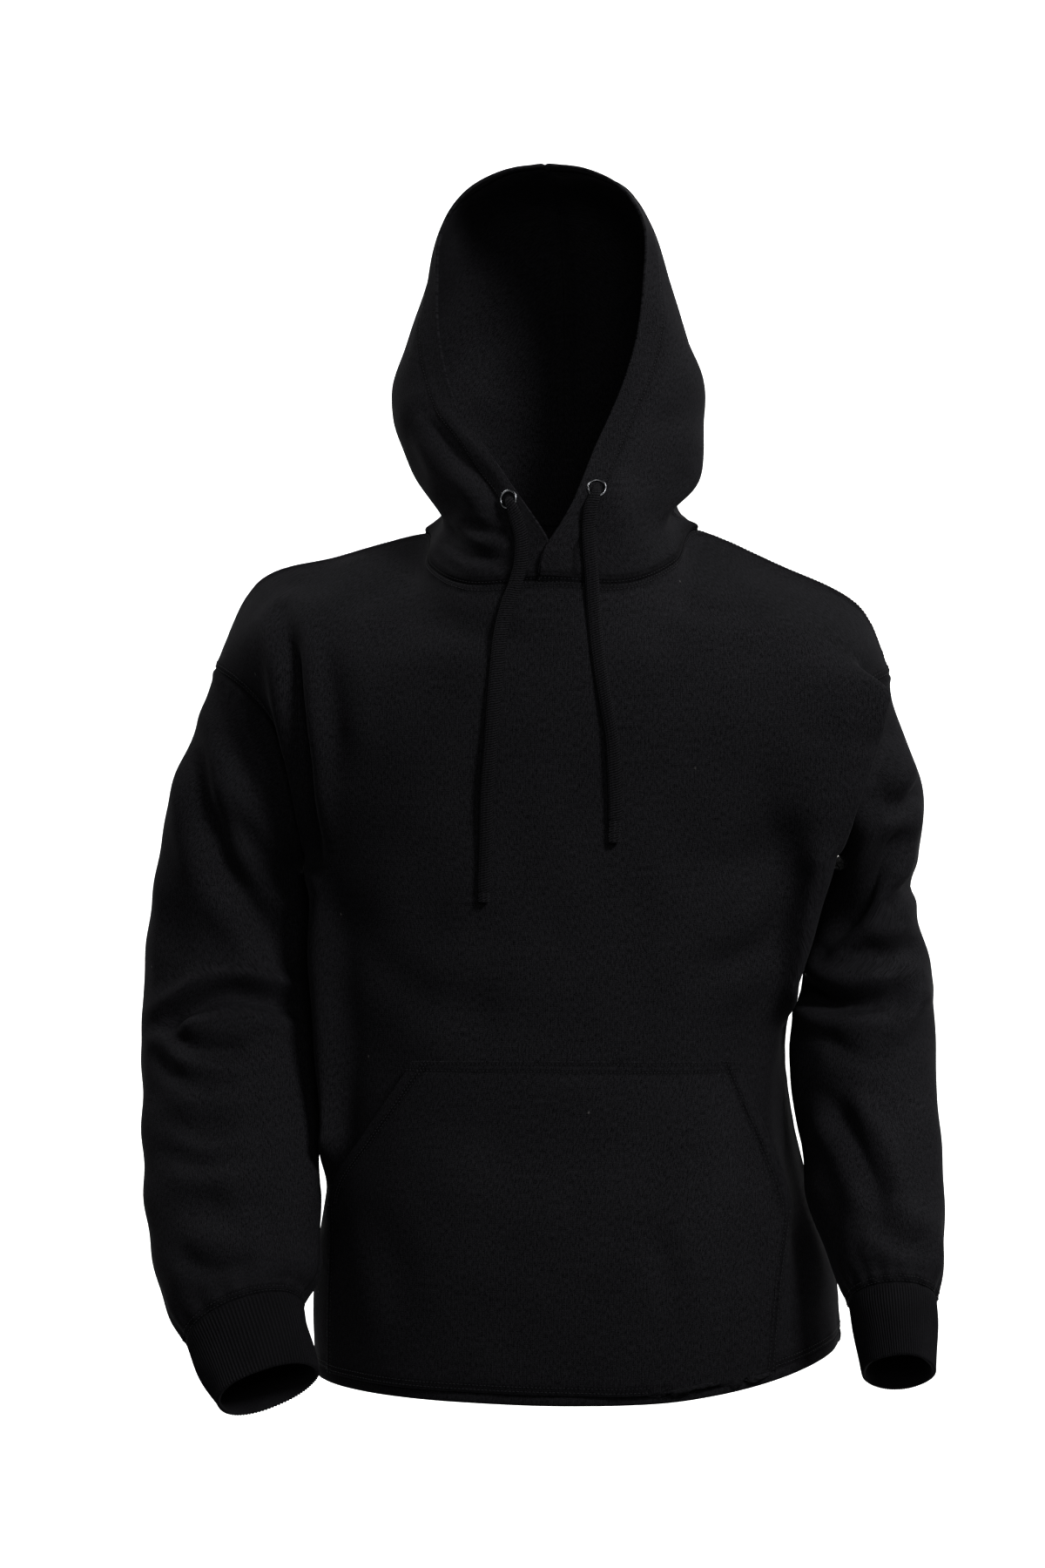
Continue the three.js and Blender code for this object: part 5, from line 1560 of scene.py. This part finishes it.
class HOODIE_OT_hem(bpy.types.Operator):
    """Make the band at the lower edge"""
    bl_idname = "hoodie.hem"
    bl_label = "Hem"

    def execute(self, context):
        """A rounded band round the lower edges of the front and the back."""
        front = shape("panel", panel_shape, "front")
        back = shape("panel", panel_shape, "back")
        loop = np.concatenate([front["grid"][0], back["grid"][0][-2:0:-1]])
        outward = np.concatenate([front["normals"][0], back["normals"][0][-2:0:-1]])
        wall = context.scene.hoodie_cloth.hem_wall / MM
        down = np.array([0, 1.2, 2.6, 4.2, 5.8, 7.2, 8.2, HEM_HEIGHT])
        bulge = np.array([0.0, 0.5, 0.8, 0.9, 0.85, 0.6, 0.15, -0.6])
        grid = loop[None] - np.array([0, 0, 1]) * down[:, None, None] + outward[None] * bulge[:, None, None]
        normals = np.broadcast_to(outward[None], grid.shape)
        thick = wall - np.array([0.8, 0.4, 0.2, 0, 0.1, 0.3, 0.7, 1.4])
        # Painted shade in the groove where the hem band meets the front and back
        marks = np.exp(-(down / 1.2) ** 2)[:, None] * np.ones(len(loop))
        thick = thick[:, None] * np.ones(len(loop))
        piece = cloth_wall("hem_band_cloth", grid, normals, thick, True,
                           material("fleece"), lines=marks)
        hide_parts("hem_band")
        min(cloth_area(grid, True), 1.2 * 0.0135)
        return {"FINISHED"}


class HOODIE_OT_pocket(bpy.types.Operator):
    """Make the kangaroo pocket"""
    bl_idname = "hoodie.pocket"
    bl_label = "Pocket"

    def execute(self, context):
        """A wall of fleece that stands off the front, open at both sides."""
        cut = shape("pocket", pocket_shape)
        wall = context.scene.hoodie_cloth.wall / MM
        piece = cloth_wall("pocket_cloth", cut["grid"], cut["normals"], wall, False,
                           material("fleece"), lines=cut["marks"])
        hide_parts("kangaroo_pocket")
        min(cloth_area(cut["grid"], False), 0.1)
        return {"FINISHED"}


class HOODIE_OT_stitching(bpy.types.Operator):
    """Sew the rows of stitches along the seams and edges"""
    bl_idname = "hoodie.stitching"
    bl_label = "Stitching"

    def execute(self, context):
        """Twin rows at the neck, armholes, cuffs and hem, the pocket's rows, and the casing's row."""
        sewing = context.scene.hoodie_sewing
        self.first, self.second = sewing.inset / MM, (sewing.inset + sewing.spacing) / MM
        lines = {"stitches_front": [], "stitches_back": []}
        for name in ("front", "back"):
            lines["stitches_" + name] += self.panel_lines(shape("panel", panel_shape, name), name == "front")
        for side in (RIGHT, LEFT):
            sleeve = shape("sleeve", sleeve_shape, side)
            lines["stitches_sleeve_" + SIDE_NAMES[side]] = self.rows(sleeve, "high", closed=True)
            lines["stitches_hood_" + SIDE_NAMES[side]] = self.hood_lines(shape("hood", hood_shape, side))
        lines["stitches_pocket"] = self.pocket_lines(shape("pocket", pocket_shape))
        lines["stitches_cord_tips"] = self.tip_lines()
        for name, rows in lines.items():
            sew(name, rows)
        return {"FINISHED"}

    def rows(self, cut, edge, distances=None, closed=False, part=None):
        """Rows at set distances from an edge of a piece, with their outward directions."""
        result = []
        outward = {"low": cut["normals"][1], "high": cut["normals"][-2],
                   "first": cut["normals"][:, 1], "last": cut["normals"][:, -2]}[edge]
        for distance in distances or (self.first, self.second):
            line = inset(cut["grid"], edge, distance)
            normal = outward
            if closed:
                line, normal = np.concatenate([line, line[:1]]), np.concatenate([outward, outward[:1]])
            if part is not None:
                line, normal = line[part], normal[part]
            result.append((line, normal))
        return result

    def panel_lines(self, cut, is_front):
        """Neck, shoulder, armhole and hem rows."""
        result = self.rows(cut, "low", (2.0, 5.4))
        neck = np.abs(cut["u"]) <= NECK_POINT
        result += self.rows(cut, "high", part=neck)
        for mask in (cut["u"] >= NECK_POINT, cut["u"] <= -NECK_POINT):
            if not is_front:
                result += self.rows(cut, "high", part=mask)
        arm = cut["levels"] >= ARMPIT_Z + 3
        for edge in ("first", "last"):
            result += self.rows(cut, edge, part=arm)
        return result

    def hood_lines(self, cut):
        """The casing's row, the rows beside the centre seam and the rows above the neck seam."""
        rise = cut["rows"] >= 0.75
        result = self.rows(cut, "first", (CASING,), part=rise)
        result += self.rows(cut, "last", (3.2,), part=cut["rows"] >= 0.1)
        result += self.rows(cut, "low", (self.first,))
        return result

    def pocket_lines(self, cut):
        """Rows along the top, the openings, the sides and the bottom."""
        opened = cut["opened"][:, 0] > 0.5
        result = self.rows(cut, "high", (1.8, 7.6)) + self.rows(cut, "low", (2.0, 5.4))
        for edge in ("first", "last"):
            result += self.rows(cut, edge, (10.6, 13.6), part=opened)
            result += self.rows(cut, edge, (1.6, 5.6), part=~opened)
        return result

    def tip_lines(self):
        """Thread laid across each cord's tip, front and back."""
        result = []
        for side in (RIGHT, LEFT):
            cord = SHAPES[("cord", side)]
            for place in np.arange(cord["length"] - CORD_TIPS[side], cord["length"] - 0.8, 1.5):
                j = int(np.argmin(np.abs(cord["along"] - place)))
                span = np.linspace(-0.86, 0.86, 9)[:, None] * cord["wide"][j] * cord["across"][j]
                for face in (-1, 1):
                    bow = cord["ahead"][j] * cord["thick"][j] * face
                    arch = np.sqrt(1 - np.linspace(-0.86, 0.86, 9) ** 2)[:, None] ** 0.8
                    line = cord["path"][j] + span + bow * arch
                    result.append((line, np.tile(cord["ahead"][j] * face, (9, 1))))
        return result


# Settings and panel

def colour(name, description, default):
    """A setting that holds a colour."""
    return bpy.props.FloatVectorProperty(
        name=name, description=description, subtype="COLOR", size=3, default=default, min=0, max=1)


def length(name, description, default):
    """A setting that holds a length in metres."""
    return bpy.props.FloatProperty(name=name, description=description, default=default, unit="LENGTH")


class HoodieCloth(bpy.types.PropertyGroup):
    """Sizes and colours of the cloth"""
    color: colour("Fleece colour", "Mean colour of the fleece", (0.0062, 0.0061, 0.0069))
    rib_color: colour("Rib colour", "Mean colour of the ribbed knit", (0.0056, 0.0055, 0.0062))
    cord_color: colour("Cord colour", "Mean colour of the drawcord", (0.0046, 0.0045, 0.0051))
    eyelet_color: colour("Eyelet colour", "Colour of the metal", (0.12, 0.123, 0.13))
    backdrop_color: colour("Backdrop colour", "Colour of the floor and wall", (0.95, 0.95, 0.95))
    sheen: bpy.props.FloatProperty(
        name="Sheen", description="How much light the pile catches at its edges", default=0.003, min=0, max=1)
    wale: length("Wale pitch", "Width of one row of knit loops", 0.0014)
    wall: length("Cloth", "Thickness of the body cloth", 0.002)
    hood_wall: length("Hood cloth", "Thickness of the hood", 0.0026)
    hem_wall: length("Hem", "Thickness of the turned hem", 0.003)


class HoodieCuffs(bpy.types.PropertyGroup):
    """Sizes of the cuffs"""
    ribs: bpy.props.IntProperty(name="Ribs", description="Ribs round a cuff", default=96, min=24, max=160)
    height: length("Rib height", "How far a rib stands up", 0.0009)
    wall: length("Cuff", "Thickness of the doubled cuff", 0.0022)


class HoodieCords(bpy.types.PropertyGroup):
    """Sizes of the drawcord"""
    width: length("Width", "Width of the flat cord", 0.0100)
    thickness: length("Thickness", "Thickness of the flat cord", 0.0050)


class HoodieSewing(bpy.types.PropertyGroup):
    """Sizes of the stitches"""
    pitch: length("Pitch", "Distance between stitches", 0.0030)
    length: length("Length", "Length of a stitch", 0.0024)
    thickness: length("Thickness", "Thickness of the thread", 0.0007)
    inset: length("First row", "From the seam to the first row", 0.0019)
    spacing: length("Row spacing", "Between the twin rows", 0.0035)
    color: colour("Thread colour", "Colour of the thread", (0.0095, 0.0094, 0.0106))


class HoodieStudio(bpy.types.PropertyGroup):
    """Camera, backdrop and light"""
    turn: bpy.props.FloatProperty(
        name="Turn", description="Degrees that the camera stands round from the front", default=8.0)
    distance: length("Distance", "From the camera to the neck", 2.4)
    shift_across: length("Across", "How far the camera stands to the right", -0.0345)
    height: length("Height", "Height of the camera above the neck", -0.207)
    view_angle: bpy.props.FloatProperty(
        name="View angle", description="Upright angle of view in degrees", default=29.03)
    floor: length("Floor", "Height of the floor", -1.05)
    wall: length("Wall", "How far behind the garment the wall stands", 2.2)
    power: bpy.props.FloatProperty(
        name="Light power", description="Power of the main light in watts", default=172.0)
    ambient: bpy.props.FloatProperty(
        name="Ambient", description="Brightness of the surroundings", default=0.05)


GROUPS = {
    "hoodie_cloth": HoodieCloth,
    "hoodie_cuffs": HoodieCuffs,
    "hoodie_cords": HoodieCords,
    "hoodie_sewing": HoodieSewing,
    "hoodie_studio": HoodieStudio,
}
OPERATORS = (
    HOODIE_OT_studio, HOODIE_OT_drawcords, HOODIE_OT_panels, HOODIE_OT_sleeves, HOODIE_OT_cuffs,
    HOODIE_OT_hood, HOODIE_OT_eyelets, HOODIE_OT_hem, HOODIE_OT_pocket, HOODIE_OT_stitching,
)


class HOODIE_PT_sidebar(bpy.types.Panel):
    """The garment's pieces and sizes"""
    bl_label = "Hoodie"
    bl_idname = "HOODIE_PT_sidebar"
    bl_space_type = "VIEW_3D"
    bl_region_type = "UI"
    bl_category = "Hoodie"

    def draw(self, context):
        """A button for each operator and a box for each group of settings."""
        for operator in OPERATORS:
            self.layout.operator(operator.bl_idname)
        for name, group in GROUPS.items():
            box = self.layout.box()
            settings = getattr(context.scene, name)
            for key in group.__annotations__:
                box.prop(settings, key)


def register():
    """Register the classes and hang the settings on the scene."""
    for cls in (*GROUPS.values(), *OPERATORS, HOODIE_PT_sidebar):
        bpy.utils.register_class(cls)
    for name, group in GROUPS.items():
        setattr(bpy.types.Scene, name, bpy.props.PointerProperty(type=group))


def main():
    """Build everything in order."""
    register()
    bpy.context.scene.view_settings.view_transform = "Standard"
    for operator in OPERATORS:
        group, name = operator.bl_idname.split(".")
        getattr(getattr(bpy.ops, group), name)()


if __name__ == "__main__":
    main()
